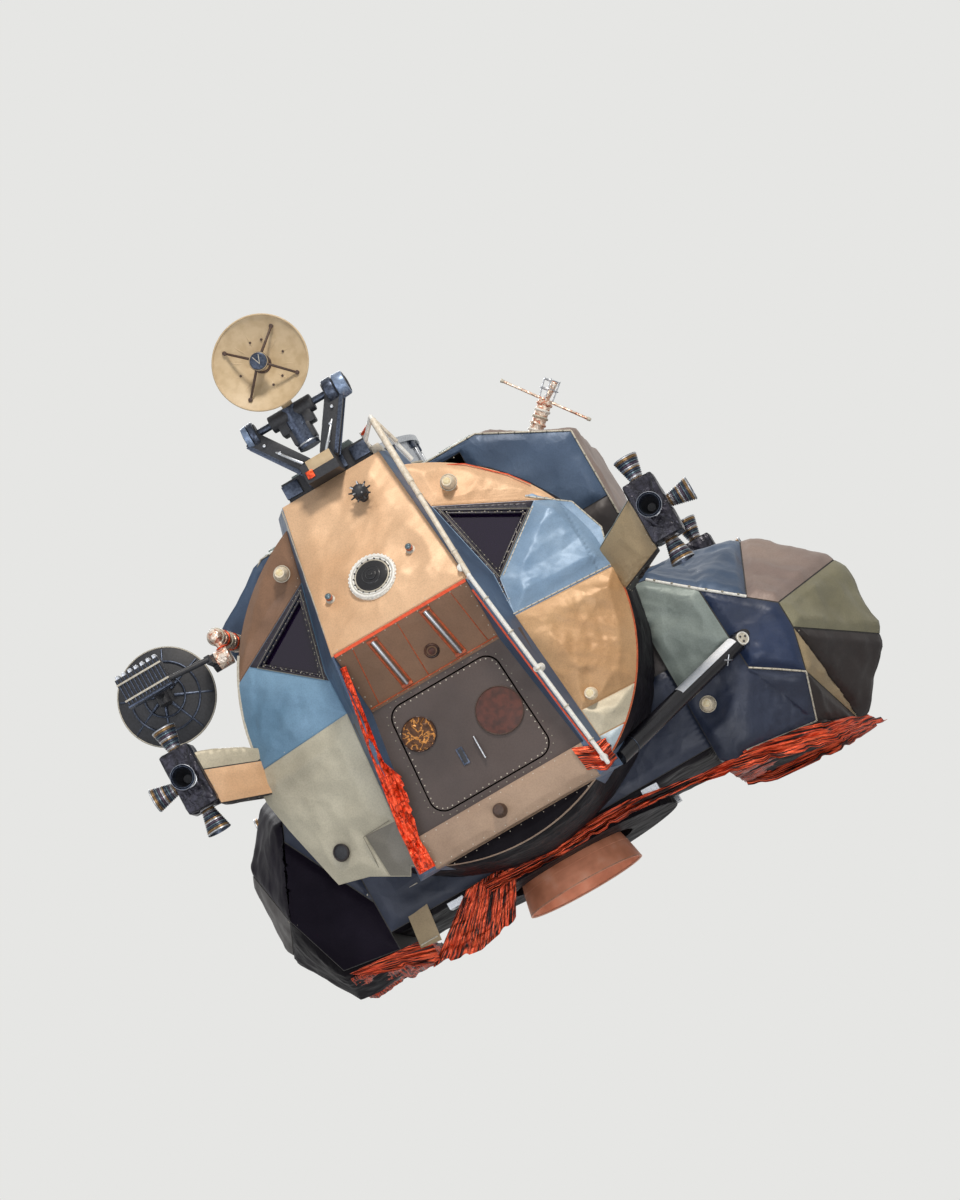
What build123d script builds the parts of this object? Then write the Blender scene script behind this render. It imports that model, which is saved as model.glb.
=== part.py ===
# Lunar module ascent stage: the crew cabin that lifts off, with its engine, tanks, thrusters and antennas.
# Millimetres. Origin at the centre of the plane where the stage rests on its four lower fittings.
# +Z is up, the crew's windows and forward hatch look along -Y, and +X is the right as seen from the front.
from build123d import *
import os

os.makedirs("parts", exist_ok=True)

# Cabin drum, its walls and the floor inside it; the drum ends at the midsection's front
MID_HALF_Y = 686
CABIN_AXIS_Z = 1257
CABIN_R = 1245
CABIN_BACK_Y = -MID_HALF_Y
CABIN_FRONT_Y = -1752
DRUM_TOOL_Y = -2300
WALL = 50
FLOOR_TOP_Z = 345
FLOOR_T = 30

# Centre column of the front face: a nose above the hatch and a raised ridge down each side of it
NOSE_TOP_Z = CABIN_AXIS_Z + CABIN_R + 63
NOSE_TOP_Y = -1524
NOSE_TOP_X = 343
LIP_Z = 1524
LIP_Y = -2032
RIDGE_LOW_Z = CABIN_AXIS_Z - CABIN_R + 115
RIDGE_LOW_Y = -1854
RIDGE_LOW_X = 648
SPLAY = 0.33
RIDGE_RIM = 20
SPINE_BACK_Y = -1270
SPINE_FOOT_BACK_Y = -1676

# Recess round the forward hatch
HATCH_PLANE_Y = -1829
SOFFIT_Z = 1143
RECESS_TOP_X = 445
SILL_TOP_Z = 343
RECESS_LOW_X = 566

# Forward hatch, wider at its foot
HATCH_TOP_Z = 1107
HATCH_LOW_Z = 391
HATCH_TOP_W = 738
HATCH_LOW_W = 836
HATCH_CORNER_R = 100
HATCH_GAP = 10

# Hatch hinges: on each pin the outer knuckles are fixed and the middle one moves with the hatch
HINGE_R = 14
HINGE_PIN_R = 6
HINGE_KNUCKLE = 50
HINGE_LEAF_T = 10
HINGE_FIXED_REACH = 60
HINGE_MOVING_REACH = 150
HINGE_PAD_START = 96
HINGE_TO_EDGE = 38
FRONT_HINGE_HEIGHTS = (560, 940)
TOP_HINGE_SIDES = (-120, 120)
RUN_GAP = 0.3

# Cheeks: corners of the right side's slanting faces, mirrored for the left
BROW_TOP = (394, -1461, 2489)
BROW_IN = (457, -1575, 2096)
BROW_OUT = (1011, -1422, 1834)
CHEEK_BREAK_IN = (559, -1765, 1227)
CHEEK_LOW_IN = (711, -1727, 152)

# Triangular windows
WINDOW_TOP_IN = (500, 2040)
WINDOW_OUT = (955, 1795)
WINDOW_LOW_IN = (620, 1500)
WINDOW_T = 12

# Midsection behind the cabin, with its top and side shields, and the hollow that joins the cabin
MID_BOTTOM_Z = 60
MID_TOP_Z = 2514
MID_SHOULDER_Z = 2222
MID_RIGHT_X = 1387
MID_RIGHT_TOP_X = 851
MID_LEFT_X = -1143
MID_LEFT_TOP_X = -711
MID_WAIST_Z = 1600
MID_RIGHT_LOW_X = 1168
MID_ROOM_HALF_X = 711
MID_ROOM_FLOOR_Z = 864
MID_ROOM_TOP_Z = 2460

# Docking tunnel on the roof and its hatch
TUNNEL_BORE_R = 406
TUNNEL_WALL = 40
TUNNEL_RIM_R = 470
TUNNEL_RIM_H = 40
TUNNEL_TOP_Z = 2832
HATCHWAY_R = 412
TOP_HATCH_GAP = 8
TOP_HATCH_DROP = 1

# Ascent engine
NOZZLE_EXIT_Z = -236
NOZZLE_EXIT_R = 394
NOZZLE_MID_Z = 60
NOZZLE_MID_R = 318
NOZZLE_THROAT_Z = 520
NOZZLE_THROAT_R = 85
NOZZLE_T = 8
ENGINE_R = 230
ENGINE_H = 240
ENGINE_WELL_R = 432

# Lower skirt and the four fittings that the stage stands on
SKIRT_R = 760
SKIRT_Z = -60
FITTING_X = 700
FITTING_Y = 600
FITTING_W = 110
FITTING_BOLT_R = 13
FITTING_GAP = 10

# Left lower cheek: how far its flat panel stands out past the drum, as corners in the front view
FLARE_OUTER = [(-1325, 1227), (-1321, 1036), (-1280, 820), (-1171, 378), (-970, 317), (-739, 180)]
FLARE_INNER = [(-600, 400), (-600, 1227)]
FLARE_T = 20

# Fuel bulge on the right and oxidizer bulge on the left: where they meet the midsection, and their fronts
FUEL_IN_X = 1168
FUEL_TOP_Z = 1270
FUEL_FRONT_Y = -MID_HALF_Y - 51
FUEL_CREST_Y = FUEL_FRONT_Y - 50
OX_IN_X = -1143
OX_TOP_Z = 1270
OX_FRONT_Y = -MID_HALF_Y

# Aft equipment bay and the rack on its back
AFT_HALF_X = 900
AFT_BACK_Y = 1480
AFT_LOW_Z = 150
AFT_TOP_Z = 2150
RACK_HALF_X = 740
RACK_BACK_Y = 1880
RACK_LOW_Z = 420
RACK_TOP_Z = 1900

# Thruster clusters at the four corners
QUAD_X = 1630
QUAD_Y = 1660
QUAD_Z = 1372
QUAD_BOX = (190, 200, 390)
BELL_R = 73
BELL_L = 165
BELL_THROAT_R = 26
BELL_T = 6

# Outriggers: how far their roots and tips run, front to back and from low to high
FRONT_ROOT_X = 1150
FRONT_ROOT_Y = (-1440, -1150)
FRONT_ROOT_Z = (1040, 1330)
FRONT_TIP_Y = (-1700, -1580)
FRONT_TIP_Z = (1150, 1500)
REAR_ROOT_Y = (1400, 1050)
REAR_ROOT_Z = (1150, 1590)
REAR_TIP_Y = (1720, 1600)
REAR_TIP_Z = (1250, 1490)

# Rendezvous radar: shelf on the nose, fixed fork, shaft that tips, and dish that turns
SHELF_TOP_Z = NOSE_TOP_Z + 135
SHELF_HALF_X = 290
SHELF_FRONT_Y = -1470
SHELF_BACK_Y = -1000
FORK_BASE = (220, 300, 120)
FORK_LEG_R = 32
FORK_LEG_LOW_X = 80
FORK_LEG_TOP_X = 300
RADAR_Y = -1600
RADAR_SHAFT_RISE = 326
RADAR_SHAFT_Z = SHELF_TOP_Z + RADAR_SHAFT_RISE
RADAR_SHAFT_R = 23
RADAR_DRUM_IN_X = 239
RADAR_DRUM_RIGHT_X = 390
RADAR_DRUM_LEFT_X = 320
RADAR_DRUM_R = 66
RADAR_DISH_Z = RADAR_SHAFT_Z + 340
RADAR_DISH_R = 303
RADAR_DISH_DEPTH = 80
RADAR_RIM_Y = -1765
RADAR_PAD_R = 60
RADAR_PAD_H = 40
RADAR_POST_R = 36
RADAR_NECK_R = 55
RADAR_WEIGHT_R = 70
RADAR_WEIGHT_LOW = 236
RADAR_FEED_R = 24
RADAR_FEED_L = 60
RADAR_FEED_PLATE_R = 58
RADAR_FEED_PLATE_T = 30
DISH_T = 6

# Steerable antenna on the upper left: boom, yoke that pitches, and dish that swings in it
BOOM_ROOT_Z = CABIN_AXIS_Z + CABIN_R - 392
BOOM_ROOT = (-1085, -MID_HALF_Y, BOOM_ROOT_Z)
BOOM_ELBOW = (-1140, -1168, BOOM_ROOT_Z + 40)
BOOM_R = 50
BOOM_NECK_R = 24
PITCH_HUB_X = -1200
PITCH_HUB_R = 60
PITCH_HUB_L = 90
YOKE_PLATE_T = 36
YOKE_PLATE_L = 240
YOKE_PLATE_H = 50
YOKE_ARM_R = 18
STEER_X = -1613
STEER_Y = -1168
STEER_Z = BOOM_ROOT_Z - 103
STEER_DISH_R = 318
STEER_DISH_FRONT = 178
STEER_DISH_DEPTH = 70
STEER_BOX = (305, 90, 180)
STEER_BOX_BACK = 300
STEER_BOX_RISE = 60
STEER_STEM_R = 30
STEER_HUB_R = 40
STEER_HUB_HALF_H = 50
STEER_LUG_TOP = 65
STEER_NECK_W = 60

# Tank strut, and the handrail's corners with its short ties to the cabin
STRUT_LOW = (690, -1450, 205)
STRUT_END = (1700, FUEL_CREST_Y + 30, 550)
STRUT_R = 57
RAIL_R = 14
RAIL_TOP = (410, -1600, NOSE_TOP_Z + 195)
RAIL_BEND = (492, LIP_Y - 34, LIP_Z)
RAIL_FOOT = (648, -1892, RIDGE_LOW_Z + 33)
RAIL_BRACE_END = (490, -1450, NOSE_TOP_Z - 135)
RAIL_SHELF_END = (270, -1440, SHELF_TOP_Z - 50)
RAIL_BEND_TIE = (470, LIP_Y + 42, LIP_Z)
RAIL_FOOT_TIE = (640, -1800, RIDGE_LOW_Z + 63)

# Tracking light and knob antenna on the nose, by their places in the front view
LIGHT_X = -30
LIGHT_Z = 1822
LIGHT_R = 152
LIGHT_T = 40
LIGHT_RING_W = 34
LIGHT_DOME_TOP = 38
KNOB_X = 140
KNOB_Z = 2318
KNOB_R = 48
KNOB_STEM_R = 28
KNOB_RISE = 110

# Docking lamps: where each straight body ends, as x, y, z
LAMP_R = 38
LAMP_TIP_R = 16
LAMP_CONE_L = 70
LAMP_BODY_L = 200
LAMPS = [(620, -1510, 2180), (-546, -1530, 2210), (750, -1690, 590), (1283, -800, 287), (-58, -1850, 236)]

# Inflight antenna: mast, cross rod and short arm
MAST_ROOT = (1080, 0, 2390)
MAST_TOP = (1310, 0, 2600)
MAST_R = 45
MAST_ROD = (180, -250)
MAST_ROD_R = 9
MAST_ARM = (110, 70)
MAST_ARM_R = 20


def mirrored(point):
    """The same point on the other side of the centre plane."""
    return (-point[0], point[1], point[2])


def behind(point, normal, reach=9000):
    """A large block that lies on the inner side of a plane."""
    return Plane(origin=point, z_dir=normal) * Pos(0, 0, -reach / 2) * Box(reach, reach, reach)


def facing(a, b, c, inside):
    """The plane through three points, as a point and the unit normal that looks away from inside."""
    a = Vector(*a)
    b = Vector(*b)
    c = Vector(*c)
    inside = Vector(*inside)
    normal = (b - a).cross(c - a).normalized()
    if normal.dot(inside - a) > 0:
        normal = normal * -1
    return a, normal


def block(planes, inset=0, start=None):
    """What lies behind every plane, after each has moved inwards by the inset."""
    solid = start
    for point, normal in planes:
        half = behind(point - normal * inset, normal)
        solid = half if solid is None else solid & half
    return solid


def skin(corners, facets):
    """A closed solid from named corners and the flat facets between them."""
    faces = [Face(Wire.make_polygon([Vector(*corners[name]) for name in facet])) for facet in facets]
    solid = Solid(Shell(faces))
    return solid if solid.volume > 0 else -solid


def tube(start, end, radius, inner=0):
    """A round bar or pipe between two points."""
    start = Vector(*start)
    along = Vector(*end) - start
    bar = Solid.make_cylinder(radius, along.length, Plane(origin=start, z_dir=along))
    if inner:
        bar = bar - Solid.make_cylinder(inner, along.length, Plane(origin=start, z_dir=along))
    return bar


def hinge(centre, along, towards):
    """A pinned hinge on a wall: its fixed knuckles with the pin, and the knuckle with its leaf that moves."""
    place = Plane(origin=centre, x_dir=towards, z_dir=along)
    seat = -HINGE_R - RUN_GAP
    knuckle = Cylinder(HINGE_R, HINGE_KNUCKLE)
    leaf = Pos(HINGE_MOVING_REACH / 2, HINGE_LEAF_T / 2 - HINGE_R, 0)
    leaf = leaf * Box(HINGE_MOVING_REACH, HINGE_LEAF_T, HINGE_KNUCKLE)
    pad_w = HINGE_MOVING_REACH - HINGE_PAD_START
    pad = Pos(HINGE_PAD_START + pad_w / 2, seat + HINGE_LEAF_T / 2, 0)
    pad = pad * Box(pad_w, HINGE_LEAF_T, HINGE_KNUCKLE)
    moving = knuckle + leaf + pad - Cylinder(HINGE_PIN_R + RUN_GAP, HINGE_KNUCKLE)
    fixed = Cylinder(HINGE_PIN_R, 3 * HINGE_KNUCKLE + 2 * RUN_GAP)
    for end in (-1, 1):
        shift = Pos(0, 0, end * (HINGE_KNUCKLE + RUN_GAP))
        plate = Pos(-HINGE_FIXED_REACH / 2, seat + HINGE_LEAF_T / 2, 0)
        plate = plate * Box(HINGE_FIXED_REACH, HINGE_LEAF_T, HINGE_KNUCKLE)
        fixed = fixed + shift * (knuckle + plate)
    return place * fixed, place * moving


def write(name, *solids):
    """Writes one named piece, with each of its solids."""
    found = []
    for solid in solids:
        found.extend(solid.solids())
    shape = found[0] if len(found) == 1 else Compound(children=found)
    shape.label = name
    export_step(shape, f"parts/{name}.step")


# Front face of the spine at a height, and the ridge's place there
def ridge_x(z):
    return RIDGE_LOW_X + (NOSE_TOP_X - RIDGE_LOW_X) * (z - RIDGE_LOW_Z) / (NOSE_TOP_Z - RIDGE_LOW_Z)


def ridge_y(z):
    if z >= LIP_Z:
        return LIP_Y + (NOSE_TOP_Y - LIP_Y) * (z - LIP_Z) / (NOSE_TOP_Z - LIP_Z)
    return LIP_Y + (RIDGE_LOW_Y - LIP_Y) * (z - LIP_Z) / (RIDGE_LOW_Z - LIP_Z)


CENTRE = (0, -1100, CABIN_AXIS_Z)
RIDGE_TOP = (ridge_x(NOSE_TOP_Z), NOSE_TOP_Y, NOSE_TOP_Z)
RIDGE_LIP = (ridge_x(LIP_Z), LIP_Y, LIP_Z)
RIDGE_FOOT = (RIDGE_LOW_X, RIDGE_LOW_Y, RIDGE_LOW_Z)


def swept_back(point, depth=300):
    """A point of the ridge carried back along the splayed side wall."""
    return (point[0] + SPLAY * depth, point[1] + depth, point[2])


NOSE_FRONT = facing(RIDGE_TOP, RIDGE_LIP, mirrored(RIDGE_LIP), CENTRE)
COLUMN_FRONT = facing(RIDGE_LIP, RIDGE_FOOT, mirrored(RIDGE_FOOT), CENTRE)
NOSE_SIDE = facing(RIDGE_TOP, RIDGE_LIP, swept_back(RIDGE_LIP), CENTRE)
COLUMN_SIDE = facing(RIDGE_LIP, RIDGE_FOOT, swept_back(RIDGE_LIP), CENTRE)
BROW_FACE = facing(BROW_TOP, BROW_IN, BROW_OUT, CENTRE)
CHEEK_FACE = facing(BROW_IN, BROW_OUT, CHEEK_BREAK_IN, CENTRE)


def cheek_y(x, z):
    """How far forward the middle cheek face stands at a place in the front view."""
    point, normal = CHEEK_FACE
    return point.Y - (normal.X * (x - point.X) + normal.Z * (z - point.Z)) / normal.Y


CHEEK_BREAK_OUT = (CABIN_R, cheek_y(CABIN_R, CHEEK_BREAK_IN[2]), CHEEK_BREAK_IN[2])
CHEEK_LOW_FACE = facing(CHEEK_BREAK_IN, CHEEK_BREAK_OUT, CHEEK_LOW_IN, CENTRE)


def both_sides(planes):
    """Each plane with its mirror image."""
    return planes + [(Vector(-p.X, p.Y, p.Z), Vector(-n.X, n.Y, n.Z)) for p, n in planes]


def drum(inset=0, back=CABIN_BACK_Y, front=DRUM_TOOL_Y):
    """The round body of the cabin along Y."""
    axis = Plane(origin=(0, back, CABIN_AXIS_Z), z_dir=(0, -1, 0))
    return Solid.make_cylinder(CABIN_R - inset, back - front, axis)


def cabin(inset=0, back=CABIN_BACK_Y):
    faces = both_sides([BROW_FACE, CHEEK_FACE, CHEEK_LOW_FACE])
    faces.append((Vector(0, CABIN_FRONT_Y, 0), Vector(0, -1, 0)))
    faces.append((NOSE_FRONT[0] - NOSE_FRONT[1] * WALL, NOSE_FRONT[1]))
    return block(faces, inset, drum(inset, back))


def spine(inset=0):
    faces = both_sides([NOSE_SIDE, COLUMN_SIDE])
    faces.append(NOSE_FRONT)
    faces.append(COLUMN_FRONT)
    faces.append((Vector(0, 0, NOSE_TOP_Z), Vector(0, 0, 1)))
    faces.append((Vector(0, 0, RIDGE_LOW_Z), Vector(0, 0, -1)))
    body = block(faces, inset) & behind((0, SPINE_BACK_Y, 0), (0, 1, 0))
    foot = behind((0, SPINE_FOOT_BACK_Y, 0), (0, -1, 0)) & behind((0, 0, CABIN_AXIS_Z), (0, 0, 1))
    return body - (foot - drum())


LIP_UNDER = (0, LIP_Y + RIDGE_RIM, LIP_Z - RIDGE_RIM)
RECESS_TOP = (RECESS_TOP_X, HATCH_PLANE_Y, SOFFIT_Z)
RECESS_LOW = (RECESS_LOW_X, HATCH_PLANE_Y, SILL_TOP_Z)
RECESS_FRONT = (ridge_x(SOFFIT_Z) - RIDGE_RIM, ridge_y(SOFFIT_Z), SOFFIT_Z)
RECESS_CENTRE = (0, LIP_Y, (SOFFIT_Z + SILL_TOP_Z) / 2)


def recess(grow=0):
    faces = both_sides([facing(RECESS_TOP, RECESS_LOW, RECESS_FRONT, RECESS_CENTRE)])
    soffit = facing(LIP_UNDER, (1, LIP_UNDER[1], LIP_UNDER[2]), (0, HATCH_PLANE_Y, SOFFIT_Z), RECESS_CENTRE)
    faces.append(soffit)
    faces.append((Vector(0, HATCH_PLANE_Y, 0), Vector(0, 1, 0)))
    faces.append((Vector(0, 0, SILL_TOP_Z), Vector(0, 0, -1)))
    faces.append((Vector(0, LIP_Y - WALL, 0), Vector(0, -1, 0)))
    return block(faces, -grow)


cabin_outer = cabin() + spine()
cabin_inner = cabin(WALL, CABIN_BACK_Y + 10) + spine(WALL)
rest = cabin_outer - recess() - (cabin_inner - recess(WALL))


def take(region):
    """Cuts one panel out of what is left of the cabin's wall."""
    global rest
    panel = rest & region
    rest = rest - region
    return panel


far = 5000
TOOL_START_Y = -3000
TOOL_REACH = 2000
front_zone = Pos(0, SPINE_BACK_Y - far / 2, 0) * Box(2 * far, far, 2 * far)
above_lip = Pos(0, 0, LIP_Z + far / 2) * Box(2 * far, 2 * far, far)
above_soffit = Pos(0, 0, SOFFIT_Z + far / 2) * Box(2 * far, 2 * far, far)
below_break = Pos(0, 0, CHEEK_BREAK_IN[2] - far / 2) * Box(2 * far, 2 * far, far)
ridge_planes = both_sides([facing(RIDGE_TOP, RIDGE_FOOT, (RIDGE_LIP[0], 0, LIP_Z), CENTRE)])
between_ridges = block(ridge_planes)
between_walls = block(both_sides([facing(RECESS_TOP, RECESS_LOW, RECESS_FRONT, RECESS_CENTRE)]))
bulkhead_zone = Pos(0, HATCH_PLANE_Y + WALL / 2, (SOFFIT_Z + SILL_TOP_Z) / 2)
bulkhead_zone = bulkhead_zone * Box(2 * RECESS_LOW_X + 40, WALL, SOFFIT_Z - SILL_TOP_Z)
sill_zone = Pos(0, (LIP_Y + CABIN_FRONT_Y) / 2, (SILL_TOP_Z + RIDGE_LOW_Z) / 2)
sill_zone = sill_zone * Box(2 * RECESS_LOW_X, CABIN_FRONT_Y - LIP_Y, SILL_TOP_Z - RIDGE_LOW_Z)

nose_panel = take(between_ridges & above_lip & front_zone)
soffit = take(between_walls & above_soffit & front_zone)
bulkhead = take(bulkhead_zone)
sill = take(sill_zone)

spine_walls = take(spine() & front_zone)
column_right = spine_walls & Pos(far / 2, 0, 0) * Box(far, 2 * far, 2 * far)
column_left = spine_walls & Pos(-far / 2, 0, 0) * Box(far, 2 * far, 2 * far)

face_planes = both_sides([BROW_FACE, CHEEK_FACE, CHEEK_LOW_FACE])
face_planes.append((Vector(0, CABIN_FRONT_Y, 0), Vector(0, -1, 0)))
drum_wall = take(block(face_planes, WALL))
apron = take(between_ridges & below_break)
crease = facing(BROW_IN, BROW_OUT, (BROW_IN[0], 0, BROW_IN[2]), (0, 0, far))
panels = {}
for side, sign in (("left", -1), ("right", 1)):
    half = Pos(sign * far / 2, 0, 0) * Box(far, 2 * far, 2 * far)
    point, normal = crease
    above = behind(Vector(sign * point.X, point.Y, point.Z), Vector(sign * normal.X, normal.Y, normal.Z))
    panels[side] = {"low": take(half & below_break), "brow": take(half & above), "mid": take(half)}

# Windows: the glazing follows the cheek face, set in a little
panes = {}
for side, sign in (("left", -1), ("right", 1)):
    outline = [WINDOW_TOP_IN, WINDOW_OUT, WINDOW_LOW_IN]
    corners = [Vector(sign * x, TOOL_START_Y, z) for x, z in outline]
    prism = Solid.extrude(Face(Wire.make_polygon(corners)), Vector(0, TOOL_REACH, 0))
    planes = both_sides([CHEEK_FACE])
    pane = (block(planes, WALL / 2, prism) - block(planes, WALL / 2 + WINDOW_T, prism))
    panes[side] = pane & Pos(sign * far / 2, 0, 0) * Box(far, 2 * far, 2 * far)
    panels[side]["mid"] = panels[side]["mid"] - prism
    panels[side]["brow"] = panels[side]["brow"] - prism

# Flared edge of the left lower cheek
flare_outline = [Vector(x, TOOL_START_Y, z) for x, z in FLARE_OUTER + FLARE_INNER]
flare = Solid.extrude(Face(Wire.make_polygon(flare_outline)), Vector(0, TOOL_REACH, 0))
low_left = [plane for plane in both_sides([CHEEK_LOW_FACE]) if plane[1].X < 0]
flare = block(low_left, 0, flare) - block(low_left, FLARE_T, flare)
panels["left"]["low"] = panels["left"]["low"] + (flare - cabin_outer)

# Forward hatch and its opening
def hatch_prism(gap, thick):
    half_top = HATCH_TOP_W / 2 - gap
    half_low = HATCH_LOW_W / 2 - gap
    low = HATCH_LOW_Z + gap
    high = HATCH_TOP_Z - gap
    sketch = Polyline((-half_low, low), (half_low, low), (half_top, high), (-half_top, high), close=True)
    face = fillet(make_face(sketch).vertices(), HATCH_CORNER_R - gap)
    plane = Plane(origin=(0, HATCH_PLANE_Y + thick, 0), x_dir=(1, 0, 0), z_dir=(0, -1, 0))
    return extrude(plane * face, thick)


bulkhead = bulkhead - hatch_prism(0, WALL)
forward_hatch = hatch_prism(HATCH_GAP, WALL)
front_hinge_x = -HATCH_LOW_W / 2 - HINGE_TO_EDGE
front_hinge_y = HATCH_PLANE_Y + WALL + HINGE_R + RUN_GAP
for z in FRONT_HINGE_HEIGHTS:
    fixed, moving = hinge((front_hinge_x, front_hinge_y, z), (0, 0, 1), (1, 0, 0))
    bulkhead = bulkhead + fixed
    forward_hatch = forward_hatch + moving

write("nose_panel", nose_panel)
write("soffit", soffit)
write("hatch_bulkhead", bulkhead)
write("sill_panel", sill + apron)
write("column_left", column_left)
write("column_right", column_right)
write("cabin_drum", drum_wall)
for side in panels:
    write("brow_" + side, panels[side]["brow"])
    write("cheek_" + side, panels[side]["mid"])
    write("low_cheek_" + side, panels[side]["low"])
write("windows", panes["left"], panes["right"])
write("forward_hatch", forward_hatch)

# Cabin floor
floor_mid_y = (CABIN_BACK_Y + CABIN_FRONT_Y) / 2
floor_plate = Pos(0, floor_mid_y, FLOOR_TOP_Z - FLOOR_T / 2)
floor_plate = floor_plate * Box(2 * far, CABIN_BACK_Y - CABIN_FRONT_Y, FLOOR_T)
write("cabin_floor", floor_plate & cabin(WALL))

# Midsection: a prism along Y with the room inside, open to the cabin in front
mid_outline = [
    (MID_LEFT_X, MID_BOTTOM_Z),
    (MID_RIGHT_LOW_X, MID_BOTTOM_Z),
    (MID_RIGHT_LOW_X, FUEL_TOP_Z),
    (MID_RIGHT_X, MID_WAIST_Z),
    (MID_RIGHT_X, MID_SHOULDER_Z),
    (MID_RIGHT_TOP_X, MID_TOP_Z),
    (MID_LEFT_TOP_X, MID_TOP_Z),
    (MID_LEFT_X, MID_SHOULDER_Z),
]
mid_face = Face(Wire.make_polygon([Vector(x, -MID_HALF_Y, z) for x, z in mid_outline]))
midsection = Solid.extrude(mid_face, Vector(0, 2 * MID_HALF_Y, 0))
room_h = MID_ROOM_TOP_Z - MID_ROOM_FLOOR_Z
room = Pos(0, -WALL, MID_ROOM_FLOOR_Z + room_h / 2) * Box(2 * MID_ROOM_HALF_X, 2 * MID_HALF_Y, room_h)
midsection = midsection - room
roof_t = MID_TOP_Z - MID_ROOM_TOP_Z
room_top = Plane(origin=(0, 0, MID_ROOM_TOP_Z))
midsection = midsection - Solid.make_cylinder(HATCHWAY_R, roof_t, room_top)
well_top = NOZZLE_THROAT_Z + ENGINE_H
well = Solid.make_cylinder(ENGINE_WELL_R, well_top - SKIRT_Z, Plane(origin=(0, 0, SKIRT_Z)))
midsection = midsection - well
top_hatch = Solid.make_cylinder(HATCHWAY_R - TOP_HATCH_GAP, roof_t - TOP_HATCH_DROP, room_top)
for x in TOP_HINGE_SIDES:
    centre = (x, HATCHWAY_R + HINGE_TO_EDGE, MID_ROOM_TOP_Z - HINGE_R - RUN_GAP)
    fixed, moving = hinge(centre, (1, 0, 0), (0, -1, 0))
    midsection = midsection + fixed
    top_hatch = top_hatch + moving
write("midsection", midsection)
write("overhead_hatch", top_hatch)

# Docking tunnel above the hatchway
tunnel_h = TUNNEL_TOP_Z - MID_TOP_Z
tunnel = Solid.make_cylinder(TUNNEL_BORE_R + TUNNEL_WALL, tunnel_h, Plane(origin=(0, 0, MID_TOP_Z)))
rim = Solid.make_cylinder(TUNNEL_RIM_R, TUNNEL_RIM_H, Plane(origin=(0, 0, TUNNEL_TOP_Z - TUNNEL_RIM_H)))
bore = Solid.make_cylinder(TUNNEL_BORE_R, tunnel_h, Plane(origin=(0, 0, MID_TOP_Z)))
write("docking_tunnel", tunnel + rim - bore)

# Ascent engine: bell, and one plain block for its chamber and valves
def bell_solid(offset):
    """The bell's inner form, grown outwards by the offset."""
    exit_point = (NOZZLE_EXIT_R + offset, NOZZLE_EXIT_Z)
    middle = (NOZZLE_MID_R + offset, NOZZLE_MID_Z)
    throat = (NOZZLE_THROAT_R + offset, NOZZLE_THROAT_Z)
    wall_line = ThreePointArc(exit_point, middle, throat)
    closing = Polyline(throat, (0, NOZZLE_THROAT_Z), (0, NOZZLE_EXIT_Z), exit_point)
    face = make_face(Plane.XZ * (wall_line + closing))
    return revolve(face, Axis.Z)


nozzle = bell_solid(NOZZLE_T) - bell_solid(0)
write("engine_nozzle", nozzle)
engine = Solid.make_cylinder(ENGINE_R, ENGINE_H, Plane(origin=(0, 0, NOZZLE_THROAT_Z)))
write("engine_block", engine)

# Skirt round the bell, and the four lower fittings
skirt = Solid.make_cylinder(SKIRT_R, MID_BOTTOM_Z - SKIRT_Z, Plane(origin=(0, 0, SKIRT_Z)))
skirt = skirt & Box(2 * SKIRT_R, 2 * MID_HALF_Y, 400)
skirt = skirt - Solid.make_cylinder(ENGINE_WELL_R, MID_BOTTOM_Z - SKIRT_Z, Plane(origin=(0, 0, SKIRT_Z)))
fittings = []
for sx in (-1, 1):
    for sy in (-1, 1):
        at = Pos(sx * FITTING_X, sy * FITTING_Y, MID_BOTTOM_Z / 2)
        foot = at * Box(FITTING_W, FITTING_W, MID_BOTTOM_Z)
        foot = foot - at * Cylinder(FITTING_BOLT_R, MID_BOTTOM_Z)
        fittings.append(foot)
        skirt = skirt - at * Box(FITTING_W + 2 * FITTING_GAP, FITTING_W + 2 * FITTING_GAP, 400)
write("base_skirt", skirt)
write("lower_fittings", *fittings)

# Fuel bulge: a faceted shell round one big tank, the same in front and behind. Corners: x, y, z
fuel_corners = {
    "mid_top_in": (FUEL_IN_X, 0, FUEL_TOP_Z),
    "mid_shoulder": (1524, 0, FUEL_TOP_Z),
    "mid_peak": (1930, 0, 1176),
    "mid_out_high": (2388, 0, 775),
    "mid_out_low": (2403, 0, 221),
    "mid_keel": (2022, 0, -196),
    "mid_low_in": (FUEL_IN_X, 0, -60),
    "top_in": (FUEL_IN_X, FUEL_FRONT_Y, 1190),
    "top_mid": (1330, FUEL_FRONT_Y, 1160),
    "crest_top": (1585, FUEL_CREST_Y, 935),
    "crest_out": (1971, FUEL_FRONT_Y, 622),
    "out_low": (1974, FUEL_FRONT_Y, 442),
    "crest_low": (1613, FUEL_CREST_Y, 356),
    "low_out": (1905, -700, 168),
    "keel_out": (1803, -508, -114),
    "low_mid": (1333, FUEL_FRONT_Y, -76),
    "low_in": (FUEL_IN_X, FUEL_FRONT_Y, -40),
}
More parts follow.
